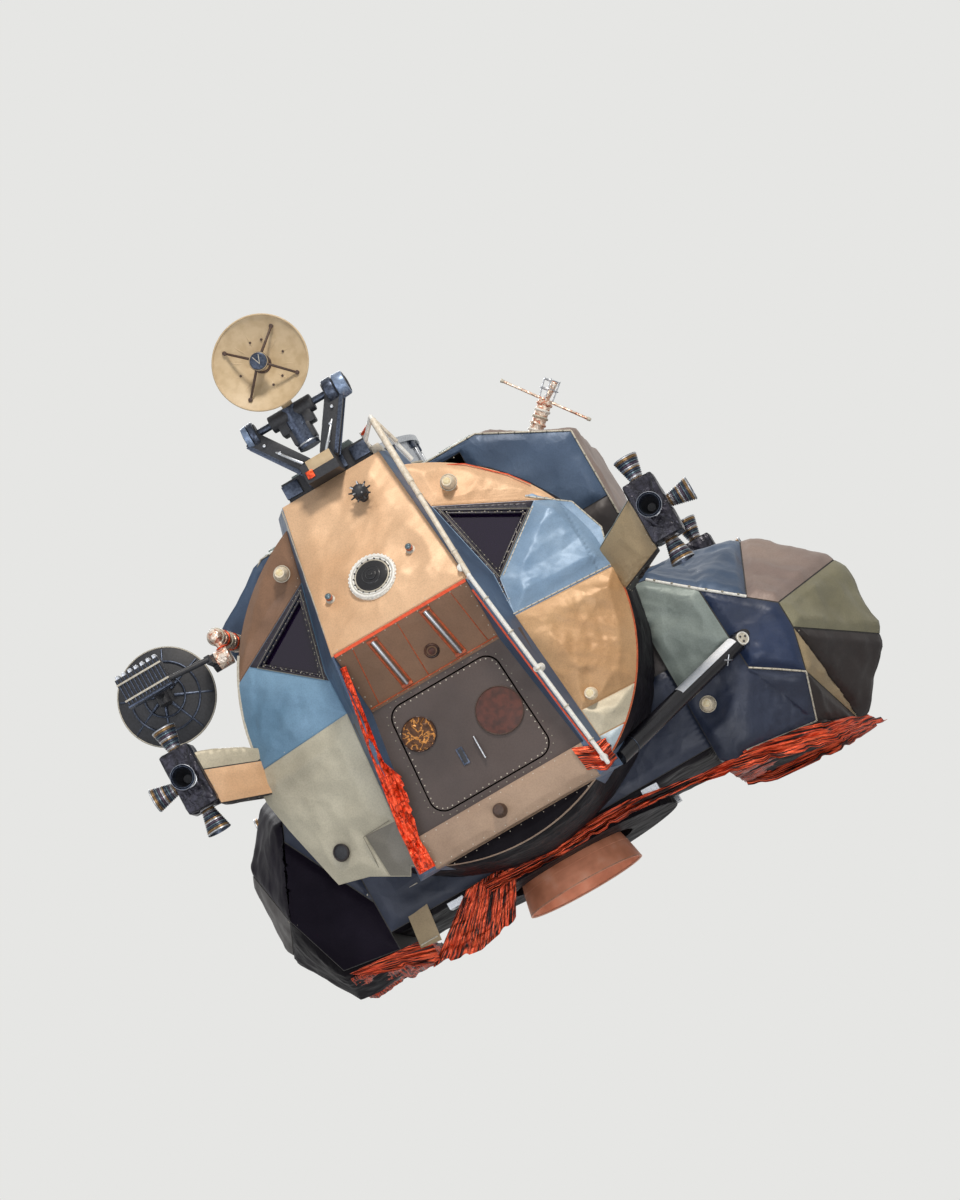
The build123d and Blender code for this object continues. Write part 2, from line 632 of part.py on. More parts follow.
fuel_facets = [
    ("mid_top_in", "mid_shoulder", "mid_peak", "mid_out_high", "mid_out_low", "mid_keel", "mid_low_in"),
    ("mid_top_in", "top_in", "low_in", "mid_low_in"),
    ("mid_top_in", "mid_shoulder", "top_mid"),
    ("mid_top_in", "top_mid", "top_in"),
    ("mid_shoulder", "mid_peak", "crest_top"),
    ("mid_shoulder", "crest_top", "top_mid"),
    ("mid_peak", "crest_out", "crest_top"),
    ("mid_peak", "mid_out_high", "crest_out"),
    ("mid_out_high", "out_low", "crest_out"),
    ("mid_out_high", "mid_out_low", "out_low"),
    ("mid_out_low", "mid_keel", "out_low"),
    ("out_low", "mid_keel", "low_out"),
    ("low_out", "mid_keel", "keel_out"),
    ("keel_out", "mid_keel", "low_mid"),
    ("mid_keel", "mid_low_in", "low_mid"),
    ("mid_low_in", "low_in", "low_mid"),
    ("top_in", "top_mid", "crest_top"),
    ("top_in", "crest_top", "crest_low"),
    ("top_in", "crest_low", "low_in"),
    ("crest_top", "crest_out", "crest_low"),
    ("crest_out", "out_low", "crest_low"),
    ("out_low", "low_out", "crest_low"),
    ("crest_low", "low_out", "keel_out"),
    ("crest_low", "keel_out", "low_mid"),
    ("low_in", "crest_low", "low_mid"),
]
fuel_front = skin(fuel_corners, fuel_facets)
fuel_bulge = fuel_front + mirror(fuel_front, Plane.XZ)
fuel_bulge = fuel_bulge - drum()
write("fuel_bulge", fuel_bulge)

# Oxidizer bulge. Corners: x, y, z
ox_corners = {
    "mid_top_in": (OX_IN_X, 0, OX_TOP_Z),
    "mid_top_out": (-1520, 0, OX_TOP_Z),
    "mid_out_high": (-1830, 0, 900),
    "mid_out_low": (-1850, 0, 320),
    "mid_keel": (-1600, 0, -120),
    "mid_low_in": (OX_IN_X, 0, -120),
    "top_in": (OX_IN_X, OX_FRONT_Y, 1200),
    "top_out": (-1400, OX_FRONT_Y, 1010),
    "out_low": (-1664, OX_FRONT_Y, 432),
    "keel": (-1520, OX_FRONT_Y, 0),
    "low_in": (OX_IN_X, OX_FRONT_Y, -60),
}
ox_facets = [
    ("mid_top_in", "mid_top_out", "mid_out_high", "mid_out_low", "mid_keel", "mid_low_in"),
    ("mid_top_in", "top_in", "low_in", "mid_low_in"),
    ("top_in", "top_out", "out_low", "keel", "low_in"),
    ("mid_top_in", "mid_top_out", "top_out"),
    ("mid_top_in", "top_out", "top_in"),
    ("mid_top_out", "mid_out_high", "top_out"),
    ("mid_out_high", "out_low", "top_out"),
    ("mid_out_high", "mid_out_low", "out_low"),
    ("mid_out_low", "mid_keel", "keel"),
    ("mid_out_low", "keel", "out_low"),
    ("mid_keel", "low_in", "keel"),
    ("mid_keel", "mid_low_in", "low_in"),
]
ox_front = skin(ox_corners, ox_facets)
ox_bulge = ox_front + mirror(ox_front, Plane.XZ)
write("oxidizer_bulge", ox_bulge)

# Aft bay and the equipment rack on its back
aft_h = AFT_TOP_Z - AFT_LOW_Z
aft = Pos(0, (MID_HALF_Y + AFT_BACK_Y) / 2, AFT_LOW_Z + aft_h / 2)
write("aft_bay", aft * Box(2 * AFT_HALF_X, AFT_BACK_Y - MID_HALF_Y, aft_h))
rack_h = RACK_TOP_Z - RACK_LOW_Z
rack = Pos(0, (AFT_BACK_Y + RACK_BACK_Y) / 2, RACK_LOW_Z + rack_h / 2)
write("equipment_rack", rack * Box(2 * RACK_HALF_X, RACK_BACK_Y - AFT_BACK_Y, rack_h))

# Thruster clusters: a box with one bell up, one down, one outwards and one fore or aft
def small_bell():
    outer = Solid.make_cone(BELL_THROAT_R + BELL_T, BELL_R, BELL_L)
    inner = Solid.make_cone(BELL_THROAT_R, BELL_R - BELL_T, BELL_L - BELL_T, Plane(origin=(0, 0, BELL_T)))
    return outer - inner


def frame_outline(x, y_pair, z_pair):
    """A rectangle across X, from its two places along Y and along Z."""
    front, back = y_pair
    low, high = z_pair
    corners = [(front, low), (front, high), (back, high), (back, low)]
    return Wire.make_polygon([Vector(x, y, z) for y, z in corners])


# End of the stage: front or rear sign, root's x, then the root's and the tip's places along Y and Z
outrigger_rows = [
    ("front", -1, FRONT_ROOT_X, FRONT_ROOT_Y, FRONT_ROOT_Z, FRONT_TIP_Y, FRONT_TIP_Z),
    ("rear", 1, AFT_HALF_X, REAR_ROOT_Y, REAR_ROOT_Z, REAR_TIP_Y, REAR_TIP_Z),
]
tip_x = QUAD_X - QUAD_BOX[0] / 2
for end, sy, root_x, root_y, root_z, tip_y, tip_z in outrigger_rows:
    outriggers = []
    for side, sx in (("left", -1), ("right", 1)):
        centre = Vector(sx * QUAD_X, sy * QUAD_Y, QUAD_Z)
        quad = Pos(centre) * Box(*QUAD_BOX)
        bells = [
            (Vector(0, 0, QUAD_BOX[2] / 2), Vector(0, 0, 1)),
            (Vector(0, 0, -QUAD_BOX[2] / 2), Vector(0, 0, -1)),
            (Vector(sx * QUAD_BOX[0] / 2, 0, 0), Vector(sx, 0, 0)),
            (Vector(0, sy * QUAD_BOX[1] / 2, 0), Vector(0, sy, 0)),
        ]
        for offset, along in bells:
            quad = quad + Plane(origin=centre + offset, z_dir=along) * small_bell()
        write(f"thrusters_{end}_{side}", quad)
        root = frame_outline(sx * root_x, root_y, root_z)
        tip = frame_outline(sx * tip_x, tip_y, tip_z)
        outriggers.append(Solid.make_loft([root, tip], ruled=True) - cabin_outer - flare)
    write("outriggers_" + end, *outriggers)

# Radar shelf on the cabin roof, and the fixed fork
shelf_h = SHELF_TOP_Z - NOSE_TOP_Z
shelf = Pos(0, (SHELF_FRONT_Y + SHELF_BACK_Y) / 2, NOSE_TOP_Z + shelf_h / 2)
shelf = shelf * Box(2 * SHELF_HALF_X, SHELF_BACK_Y - SHELF_FRONT_Y, shelf_h)


def dish_bowl(radius, depth, thick):
    """A shallow bowl that opens along +Z, with its rim's plane at z = 0."""
    solids = []
    for r, d in ((radius, depth), (radius - thick, depth - thick)):
        curve = ThreePointArc((0, -d), (r / 2, -d * 0.75), (r, 0))
        solids.append(revolve(make_face(Plane.XZ * (curve + Polyline((r, 0), (0, 0), (0, -d)))), Axis.Z))
    return solids[0] - solids[1]


# Fork: two legs from a base on the nose up to the bearing drums
fork = Pos(0, RADAR_Y, NOSE_TOP_Z + FORK_BASE[2] / 2) * Box(*FORK_BASE) + shelf
leg_low_z = NOSE_TOP_Z + FORK_BASE[2] - FORK_LEG_R
for sx, out_x in ((-1, RADAR_DRUM_LEFT_X), (1, RADAR_DRUM_RIGHT_X)):
    drum_in = (sx * RADAR_DRUM_IN_X, RADAR_Y, RADAR_SHAFT_Z)
    drum_out = (sx * out_x, RADAR_Y, RADAR_SHAFT_Z)
    leg_low = (sx * FORK_LEG_LOW_X, RADAR_Y, leg_low_z)
    leg_top = (sx * FORK_LEG_TOP_X, RADAR_Y, RADAR_SHAFT_Z)
    fork = fork + tube(drum_in, drum_out, RADAR_DRUM_R)
    fork = fork + tube(leg_low, leg_top, FORK_LEG_R)
inner_end = Box(2 * RADAR_DRUM_IN_X, 2 * RADAR_DRUM_R, 2 * RADAR_DRUM_R)
fork = fork - Pos(0, RADAR_Y, RADAR_SHAFT_Z) * inner_end
fork = fork - cabin_outer
write("radar_fork", fork)

# Shaft between the drums, with the pad that carries the dish and the weight below it
shaft_end = RADAR_DRUM_IN_X - RUN_GAP
shaft = tube((-shaft_end, RADAR_Y, RADAR_SHAFT_Z), (shaft_end, RADAR_Y, RADAR_SHAFT_Z), RADAR_SHAFT_R)
pad_low = RADAR_SHAFT_Z - RADAR_PAD_H
pad_top = RADAR_SHAFT_Z + RADAR_PAD_H
shaft = shaft + tube((0, RADAR_Y, pad_low), (0, RADAR_Y, pad_top), RADAR_PAD_R)
shaft = shaft + tube((0, RADAR_Y, RADAR_SHAFT_Z - RADAR_WEIGHT_LOW), (0, RADAR_Y, pad_low), RADAR_WEIGHT_R)
write("radar_shaft", shaft)

# Dish on its post
bowl_back_y = RADAR_RIM_Y + RADAR_DISH_DEPTH
feed_y = RADAR_RIM_Y - RADAR_FEED_L
post_top = RADAR_DISH_Z + 30
post = tube((0, RADAR_Y, pad_top + RUN_GAP), (0, RADAR_Y, post_top), RADAR_POST_R)
neck = tube((0, RADAR_Y, RADAR_DISH_Z), (0, bowl_back_y - DISH_T / 2, RADAR_DISH_Z), RADAR_NECK_R)
rim_plane = Plane(origin=(0, RADAR_RIM_Y, RADAR_DISH_Z), z_dir=(0, -1, 0))
bowl = rim_plane * dish_bowl(RADAR_DISH_R, RADAR_DISH_DEPTH, DISH_T)
feed = tube((0, bowl_back_y - DISH_T, RADAR_DISH_Z), (0, feed_y, RADAR_DISH_Z), RADAR_FEED_R)
plate = tube((0, feed_y + RADAR_FEED_PLATE_T, RADAR_DISH_Z), (0, feed_y, RADAR_DISH_Z), RADAR_FEED_PLATE_R)
write("radar_dish", post + neck + bowl + feed + plate)

# Steerable antenna: boom with its hub
hub = tube((PITCH_HUB_X + PITCH_HUB_L, STEER_Y, STEER_Z), (PITCH_HUB_X, STEER_Y, STEER_Z), PITCH_HUB_R)
boom = tube(BOOM_ROOT, BOOM_ELBOW, BOOM_R) + Pos(*BOOM_ELBOW) * Sphere(BOOM_R)
boom = boom + tube(BOOM_ELBOW, (BOOM_ELBOW[0], STEER_Y, STEER_Z), BOOM_NECK_R)
write("antenna_boom", boom + hub - midsection)

# Yoke: plate on the hub, arm to the electronics box, and the stem that carries the dish
yoke_in_x = PITCH_HUB_X - RUN_GAP
yoke_mid_x = yoke_in_x - YOKE_PLATE_T / 2
box_y = STEER_Y - STEER_BOX_BACK - STEER_BOX[1] / 2
arm_foot = (yoke_mid_x, STEER_Y - YOKE_PLATE_L + YOKE_ARM_R / 2, STEER_Z)
arm_end = (STEER_X + STEER_BOX[0] / 2 - YOKE_ARM_R / 2, box_y, STEER_Z)
yoke = tube((yoke_in_x, STEER_Y, STEER_Z), (yoke_in_x - YOKE_PLATE_T, STEER_Y, STEER_Z), PITCH_HUB_R)
yoke_plate = Box(YOKE_PLATE_T, YOKE_PLATE_L, YOKE_PLATE_H)
yoke = yoke + Pos(yoke_mid_x, STEER_Y - YOKE_PLATE_L / 2, STEER_Z) * yoke_plate
yoke = yoke + tube(arm_foot, arm_end, YOKE_ARM_R)
yoke = yoke + Pos(STEER_X, box_y, STEER_Z + STEER_BOX_RISE) * Box(*STEER_BOX)
yoke = yoke + tube((STEER_X, box_y, STEER_Z), (STEER_X, STEER_Y, STEER_Z), STEER_STEM_R)
hub_low = (STEER_X, STEER_Y, STEER_Z - STEER_HUB_HALF_H)
hub_top = (STEER_X, STEER_Y, STEER_Z + STEER_HUB_HALF_H)
write("antenna_yoke", yoke + tube(hub_low, hub_top, STEER_HUB_R))

# Its dish, with one lug above and one below the stem's hub
lug_face = STEER_HUB_HALF_H + RUN_GAP
lug_t = STEER_LUG_TOP - lug_face
neck_l = STEER_DISH_FRONT - STEER_DISH_DEPTH - STEER_HUB_R - 5
neck_mid_y = STEER_Y + STEER_HUB_R + 5 + neck_l / 2
steer_dish = Pos(STEER_X, neck_mid_y, STEER_Z) * Box(STEER_NECK_W, neck_l + 10, 2 * STEER_LUG_TOP)
steer_dish = steer_dish - Pos(STEER_X, STEER_Y, STEER_Z) * Cylinder(STEER_HUB_R + 5, 4 * STEER_LUG_TOP)
arm_l = STEER_HUB_R + 10
for sz in (-1, 1):
    lug_z = STEER_Z + sz * (lug_face + lug_t / 2)
    steer_dish = steer_dish + Pos(STEER_X, STEER_Y, lug_z) * Cylinder(STEER_HUB_R, lug_t)
    steer_dish = steer_dish + Pos(STEER_X, STEER_Y + arm_l / 2, lug_z) * Box(STEER_NECK_W, arm_l, lug_t)
steer_plane = Plane(origin=(STEER_X, STEER_Y + STEER_DISH_FRONT, STEER_Z), z_dir=(0, 1, 0))
steer_dish = steer_dish + steer_plane * dish_bowl(STEER_DISH_R, STEER_DISH_DEPTH, DISH_T)
write("antenna_dish", steer_dish)

# Strut from the cabin's lower corner to the fuel bulge
write("tank_strut", tube(STRUT_LOW, STRUT_END, STRUT_R) - cabin_outer - fuel_bulge)

# Handrail down the right ridge
rail_runs = [
    (RAIL_TOP, RAIL_BEND),
    (RAIL_BEND, RAIL_FOOT),
    (RAIL_TOP, RAIL_BRACE_END),
    (RAIL_TOP, RAIL_SHELF_END),
    (RAIL_BEND, RAIL_BEND_TIE),
    (RAIL_FOOT, RAIL_FOOT_TIE),
]
rail = Pos(*RAIL_TOP) * Sphere(RAIL_R) + Pos(*RAIL_BEND) * Sphere(RAIL_R)
for start, end in rail_runs:
    rail = rail + tube(start, end, RAIL_R)
write("handrail", rail - cabin_outer - shelf)


def on_nose(x, z):
    """The plane of the nose's front face, with its origin at a place in the front view."""
    return Plane(origin=Vector(x, ridge_y(z), z), z_dir=NOSE_FRONT[1])


# Tracking light: a ring with a dome in it
light = Solid.make_cylinder(LIGHT_R, LIGHT_T)
light = light - Pos(0, 0, LIGHT_T / 4) * Solid.make_cylinder(LIGHT_R - LIGHT_RING_W, LIGHT_T)
dome = Pos(0, 0, LIGHT_DOME_TOP - LIGHT_R) * Sphere(LIGHT_R)
dome = dome & Pos(0, 0, LIGHT_R / 2 + LIGHT_T / 8) * Box(2 * LIGHT_R, 2 * LIGHT_R, LIGHT_R)
write("tracking_light", on_nose(LIGHT_X, LIGHT_Z) * (light + dome))

# Knob antenna above it
knob = Solid.make_cylinder(KNOB_STEM_R, KNOB_RISE) + Pos(0, 0, KNOB_RISE) * Sphere(KNOB_R)
write("forward_antenna", on_nose(KNOB_X, KNOB_Z) * knob)

# Docking lamps
lamps = []
for x, y, z in LAMPS:
    back_end = Plane(origin=(x, y + LAMP_BODY_L, z), z_dir=(0, -1, 0))
    front_end = Plane(origin=(x, y, z), z_dir=(0, -1, 0))
    body = Solid.make_cylinder(LAMP_R, LAMP_BODY_L, back_end)
    tip = Solid.make_cone(LAMP_R, LAMP_TIP_R, LAMP_CONE_L, front_end)
    lamps.append(body + tip - cabin_outer - flare - fuel_bulge)
write("docking_lamps", *lamps)

# Inflight antenna
mast_top = Vector(*MAST_TOP)
rod_half = Vector(MAST_ROD[0], 0, MAST_ROD[1])
arm_end = mast_top + Vector(MAST_ARM[0], 0, MAST_ARM[1])
mast = tube(MAST_ROOT, MAST_TOP, MAST_R) - midsection
mast = mast + tube(mast_top - rod_half, mast_top + rod_half, MAST_ROD_R)
mast = mast + tube(mast_top, arm_end, MAST_ARM_R)
write("inflight_antenna", mast)
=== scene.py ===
# %% [markdown]
# # The upper stage of a lunar module, dressed
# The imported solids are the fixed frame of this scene: cabin, tanks, engine, thrusters and antennas,
# at their real size in metres, with +Z up and the crew's hatch looking along -Y.
# Each cell below explains one piece or finish, and then makes it.
# %% Load the frame
import math
import random

import bpy
from mathutils import Matrix, Vector, kdtree, noise


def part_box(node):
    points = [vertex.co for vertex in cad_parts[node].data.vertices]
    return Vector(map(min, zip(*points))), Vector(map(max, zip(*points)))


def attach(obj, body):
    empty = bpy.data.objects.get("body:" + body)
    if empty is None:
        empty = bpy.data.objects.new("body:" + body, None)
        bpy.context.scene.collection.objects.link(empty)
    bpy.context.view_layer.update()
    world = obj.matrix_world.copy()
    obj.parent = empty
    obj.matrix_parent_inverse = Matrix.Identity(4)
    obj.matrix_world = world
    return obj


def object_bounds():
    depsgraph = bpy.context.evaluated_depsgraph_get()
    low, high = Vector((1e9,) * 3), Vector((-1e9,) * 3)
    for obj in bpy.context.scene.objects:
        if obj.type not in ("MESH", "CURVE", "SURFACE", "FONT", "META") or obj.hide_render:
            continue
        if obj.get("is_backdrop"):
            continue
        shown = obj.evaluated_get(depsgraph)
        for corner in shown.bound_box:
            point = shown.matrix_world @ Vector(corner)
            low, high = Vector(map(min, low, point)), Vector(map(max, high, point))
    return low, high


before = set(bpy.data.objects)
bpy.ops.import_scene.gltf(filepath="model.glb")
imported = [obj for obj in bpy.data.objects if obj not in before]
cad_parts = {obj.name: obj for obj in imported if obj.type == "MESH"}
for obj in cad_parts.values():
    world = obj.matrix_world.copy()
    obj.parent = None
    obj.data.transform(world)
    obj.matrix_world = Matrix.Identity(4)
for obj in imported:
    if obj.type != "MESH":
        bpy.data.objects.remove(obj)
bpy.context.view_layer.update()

# %% [markdown]
# ## Working by hand, in code
# Operators act on whatever is selected, and the loaded nodes all start selected. So every step
# first picks one object, and then picks faces or edges by their place or by the way they look.
# %% Selection helpers
def pick(obj):
    """Makes one object the only one selected, and active."""
    bpy.ops.object.select_all(action="DESELECT")
    obj.select_set(True)
    bpy.context.view_layer.objects.active = obj


def edit(obj, mode="FACE"):
    """Opens one object in edit mode, with nothing selected."""
    pick(obj)
    bpy.ops.object.mode_set(mode="EDIT")
    bpy.ops.mesh.select_mode(type=mode)
    bpy.ops.mesh.select_all(action="DESELECT")


def done():
    """Goes back to object mode, which writes the edits to the mesh."""
    bpy.ops.object.mode_set(mode="OBJECT")


def select_faces(obj, test):
    """Selects the faces whose centre and normal pass a test. The object is left in edit mode."""
    edit(obj)
    done()
    for face in obj.data.polygons:
        face.select = bool(test(face.center, face.normal))
    bpy.ops.object.mode_set(mode="EDIT")


print("selection helpers ready")

# %% Placing, modifiers and new meshes
def settle(obj):
    """Puts a piece's place into its mesh, so that its object sits at the origin, unturned."""
    pick(obj)
    bpy.ops.object.transform_apply(location=True, rotation=True, scale=True)


def modify(obj, kind, **settings):
    """Adds one modifier and applies it."""
    pick(obj)
    made = obj.modifiers.new(kind, kind)
    for name, value in settings.items():
        setattr(made, name, value)
    bpy.ops.object.modifier_apply(modifier=made.name)


def mesh_piece(name, points, faces, edges=()):
    """A new object from points and faces, or from a line of edges."""
    mesh = bpy.data.meshes.new(name)
    mesh.from_pydata([tuple(p) for p in points], list(edges), faces)
    mesh.update()
    obj = bpy.data.objects.new(name, mesh)
    bpy.context.scene.collection.objects.link(obj)
    return obj


print("mesh helpers ready")

# %% [markdown]
# ## Colours
# The colours are written as the sRGB hex values that a picture editor shows. Blender's shaders
# work in linear light, so one function turns each value to linear.
# %% Colour and node helpers
def linear(hex_colour):
    """An sRGB hex colour as linear red, green, blue and alpha."""
    parts = [int(hex_colour[i:i + 2], 16) / 255 for i in (1, 3, 5)]
    return [p / 12.92 if p <= 0.04045 else ((p + 0.055) / 1.055) ** 2.4 for p in parts] + [1.0]


def put(tree, kind, inputs=None, stops=(), **settings):
    """Adds one shader node. Inputs are values, or outputs of other nodes. Stops are the places and
    hex colours of a ramp."""
    made = tree.nodes.new("ShaderNode" + kind)
    for name, value in settings.items():
        setattr(made, name, value)
    for name, value in (inputs or {}).items():
        if isinstance(value, bpy.types.NodeSocket):
            tree.links.new(value, made.inputs[name])
        else:
            made.inputs[name].default_value = value
    if stops:
        marks = made.color_ramp.elements
        while len(marks) < len(stops):
            marks.new(0.5)
        for mark, (place, colour) in zip(marks, stops):
            mark.position = place
            mark.color = linear(colour)
    return made


def blank(name):
    """A material with an empty node tree, and its Object coordinates."""
    material = bpy.data.materials.new(name)
    material.use_nodes = True
    material.node_tree.nodes.clear()
    return material, material.node_tree, put(material.node_tree, "TexCoord").outputs["Object"]


def per_mm(size):
    """The scale of a pattern whose features are this many millimetres apart."""
    return 1000 / size


print("tan film is", [round(c, 3) for c in linear("#E8C29C")])

# %% [markdown]
# ## Film and thin sheet
# Most of the skin is thin aluminium sheet, painted, anodised or covered with film. It bulges
# between its fasteners and keeps soft creases from handling. The broad dents are modelled later.
# The material adds what is too fine to model: a slow drift in colour, a fine grain, and shallow
# creases that break the highlights.
# %% Sheet material
def sheet(name, pale, deep, metallic=0.15, roughness=0.5, dent=0.35, dent_size=150, shine=0.5):
    """Painted or filmed aluminium sheet in two close tones. The size of its small dents is in mm."""
    material, tree, place = blank(name)
    # The tone drifts from one forearm's length to the next, as film browns and sheet is rubbed.
    drift = put(tree, "TexNoise", {"Vector": place, "Scale": per_mm(620), "Detail": 3.0, "Roughness": 0.55})
    colour = put(tree, "ValToRGB", {"Fac": drift.outputs["Fac"]}, [(0.35, deep), (0.6, pale)])
    # The grain of a coat is finer than a millimetre. It is drawn at 9 mm, so that it still shows.
    grain = put(tree, "TexNoise", {"Vector": place, "Scale": per_mm(9), "Detail": 2.0})
    speckle = put(tree, "ValToRGB", {"Fac": grain.outputs["Fac"]}, [(0.3, "#EFEFEF"), (0.6, "#FFFFFF")])
    toned = put(tree, "Mix", {"Factor": 1.0, "A": colour.outputs["Color"], "B": speckle.outputs["Color"]},
                data_type="RGBA", blend_type="MULTIPLY")
    # Handling leaves hand-sized dents, with crumples of 70 mm between them. A slow waver bends both.
    waver = put(tree, "TexNoise", {"Vector": place, "Scale": per_mm(190), "Detail": 2.0})
    bent = put(tree, "VectorMath", {0: waver.outputs["Color"], 1: (0.12, 0.12, 0.12), 2: place},
               operation="MULTIPLY_ADD")
    dents = put(tree, "TexVoronoi", {"Vector": bent.outputs[0], "Scale": per_mm(dent_size)})
    soft = put(tree, "Bump", {"Height": dents.outputs["Distance"], "Strength": dent, "Distance": 0.016})
    small = put(tree, "TexNoise", {"Vector": bent.outputs[0], "Scale": per_mm(70), "Detail": 3.0})
    sharp = put(tree, "Bump", {"Height": small.outputs["Fac"], "Strength": dent * 0.7, "Distance": 0.008,
                               "Normal": soft.outputs["Normal"]})
    gloss = put(tree, "MapRange", {"Value": waver.outputs["Fac"], "From Min": 0.3, "From Max": 0.7,
                                   "To Min": roughness - 0.06, "To Max": roughness + 0.08})
    shader = put(tree, "BsdfPrincipled", {"Base Color": toned.outputs["Result"], "Metallic": metallic,
                                          "Roughness": gloss.outputs["Result"], "Specular IOR Level": shine,
                                          "Normal": sharp.outputs["Normal"]})
    put(tree, "OutputMaterial", {"Surface": shader.outputs[0]})
    return material


# %% Sheets in film
# Polyimide film over thin sheet: warm and half matt, so that dents show as soft bands of tone.
TAN = sheet("tan_polyimide_film_on_sheet", "#DDB690", "#CFA47C", dent=0.3)
WARM_TAN = sheet("warm_tan_film_on_sheet", "#CDA67B", "#B88E63", dent=0.55)
# The sill's tan is painted darker, as painted shade, since the sill faces down.
SILL_TAN_SHADED = sheet("tan_film_darkened_as_painted_shade", "#AB9079", "#907763", dent=0.45)
# Tan film painted darker, as painted shade, for the wall under the nose and the left brow.
TAN_IN_PAINTED_SHADE = sheet("tan_film_in_painted_shade", "#8A6850", "#705440")
# Black film: it hardly shines, so that only the tops of its folds show in the dark.
BLACKISH = sheet("black_film", "#211E23", "#141216", 0.0, 0.5, 0.8, 120, 0.04)
print(len(bpy.data.materials), "materials")

# %% Anodised sheets
# Anodised aluminium: cool and a little metallic, with long highlights that run along its dents.
SILVER = sheet("blue_silver_anodised_sheet", "#90A9C2", "#7390AE", 0.10, 0.46, 0.28, 260)
TEAL = sheet("teal_anodised_sheet", "#7C9FBA", "#62859F", 0.15, 0.46, 0.3)
SLATE = sheet("slate_blue_sheet", "#516580", "#3B4D66", 0.2, 0.42, 0.5)
# The darkest coats let only the crests of the dents catch the light.
NAVY = sheet("navy_sheet", "#2C3449", "#1F2637", 0.08, 0.48, 0.5)
# A deep blue coat, darkened further as painted shade on the fuel bulge's shaded front facets.
DEEP_BLUE_SHADED = sheet("deep_blue_sheet_with_painted_shade", "#203050", "#17233B", 0.10, 0.44, 0.5)
INK = sheet("ink_black_sheet", "#241F2A", "#18141D", 0.0, 0.5, 0.4, 160, 0.04)
print(len(bpy.data.materials), "materials")

# %% Coated sheets
# Sprayed thermal coats: dull and even, so that a facet reads as one tone with soft folds in it.
SAGE = sheet("sage_coated_sheet", "#95A09B", "#7A8581", dent=0.6)
PALE_SAGE = sheet("pale_sage_sheet", "#D0C6AE", "#B8AE97")
SHADED_SAGE = sheet("grey_sage_sheet", "#CAC3AD", "#AFA894")
GREY_SAGE = sheet("dull_grey_sage_sheet", "#8C877C", "#777268")
PALE_BLUE = sheet("pale_blue_sheet", "#AEBCC4", "#95A5AF")
STONE = sheet("stone_grey_sheet", "#9A9585", "#7F7A6C")
KHAKI = sheet("khaki_coated_sheet", "#A89473", "#8D7A5D", dent=0.5)
OLIVE = sheet("olive_coated_sheet", "#918C73", "#7C775F", dent=0.45)
PINK = sheet("pinkish_grey_sheet", "#9E8B81", "#897770")
# The two darkest are painted darker than their coats, as painted shade, for the hatch recess and
# the facets that lie in shade. They stay almost flat to the eye.
TAUPE_PAINTED_SHADE = sheet("taupe_sheet_with_painted_shade", "#504440", "#403633", dent=0.25)
UMBER_PAINTED_SHADE = sheet("umber_sheet_with_painted_shade", "#302827", "#241E1F")
print(len(bpy.data.materials), "materials")

# %% [markdown]
# ## Metal-backed foil
# The blankets are thin polyimide film with metal behind it, crumpled on purpose so that the
# layers hardly touch. It shines, and each small facet catches another light. So it is half metal
# and smooth, and its facets come from relief. Its colour paints light and shade as well: painted
# shade in the creases and painted highlight on the crumples between them. Where a blanket hangs
# in long wrinkles, the pattern follows the blanket's own map, drawn out along it.
# %% Foil material
def foil(name, bright, middle, dark, size=60, depth=0.012, roughness=0.34, stretched=False):
    """Crumpled metal-backed film. The size of its facets is in millimetres."""
    material, tree, place = blank(name)
    if stretched:
        chart = put(tree, "TexCoord").outputs["UV"]
        place = put(tree, "Mapping", {"Vector": chart, "Scale": (0.16, 3.6, 1.0)}).outputs[0]
    waver = put(tree, "TexNoise", {"Vector": place, "Scale": per_mm(size * 2), "Detail": 2.0})
    bent = put(tree, "VectorMath", {0: waver.outputs["Color"], 1: (0.06, 0.06, 0.06), 2: place},
               operation="MULTIPLY_ADD")
    facets = put(tree, "TexVoronoi", {"Vector": bent.outputs[0], "Scale": per_mm(size)})
    creases = put(tree, "TexNoise", {"Vector": bent.outputs[0], "Scale": per_mm(size * 1.4), "Detail": 4.0})
    # The ramp paints light and shade: a crumple gets one crease in the dark colour, and a long wrinkle
    # two dark valleys beside a bright ridge, as painted shade and painted highlight.
    stops = [(0.30, bright), (0.46, middle), (0.50, dark), (0.54, middle), (0.72, bright)]
    if stretched:
        stops = [(0.42, dark), (0.46, middle), (0.50, bright), (0.535, dark), (0.56, dark), (0.59, middle),
                 (0.63, bright), (0.68, dark)]
    shade = put(tree, "ValToRGB", {"Fac": creases.outputs["Fac"]}, stops)
    first = put(tree, "Bump", {"Height": creases.outputs["Fac"], "Strength": 0.7, "Distance": depth * 2})
    second = put(tree, "Bump", {"Height": facets.outputs["Distance"], "Strength": 0.8, "Distance": depth,
                                "Normal": first.outputs["Normal"]})
    shader = put(tree, "BsdfPrincipled", {"Base Color": shade.outputs["Color"], "Metallic": 0.5,
                                          "Roughness": roughness, "Normal": second.outputs["Normal"]})
    put(tree, "OutputMaterial", {"Surface": shader.outputs[0]})
    return material


# Orange polyimide over metal: it shines on every facet that faces a light, and its folds are
# painted dark, as painted shade.
ORANGE_FOIL = foil("orange_polyimide_foil", "#F0612F", "#DC4A20", "#A02E12")
LONG_FOIL = foil("wrinkled_orange_blanket", "#F26238", "#C63E1E", "#200C0A", size=60, stretched=True)
CRUMPLED_FOIL = foil("crumpled_orange_foil", "#F2562C", "#E24620", "#7A2412", size=34, depth=0.010)
# The same film with its white side out shows orange only where it is creased.
WHITE_FOIL = foil("white_orange_foil", "#F3EAE0", "#E4CDB8", "#B9562E", size=40)
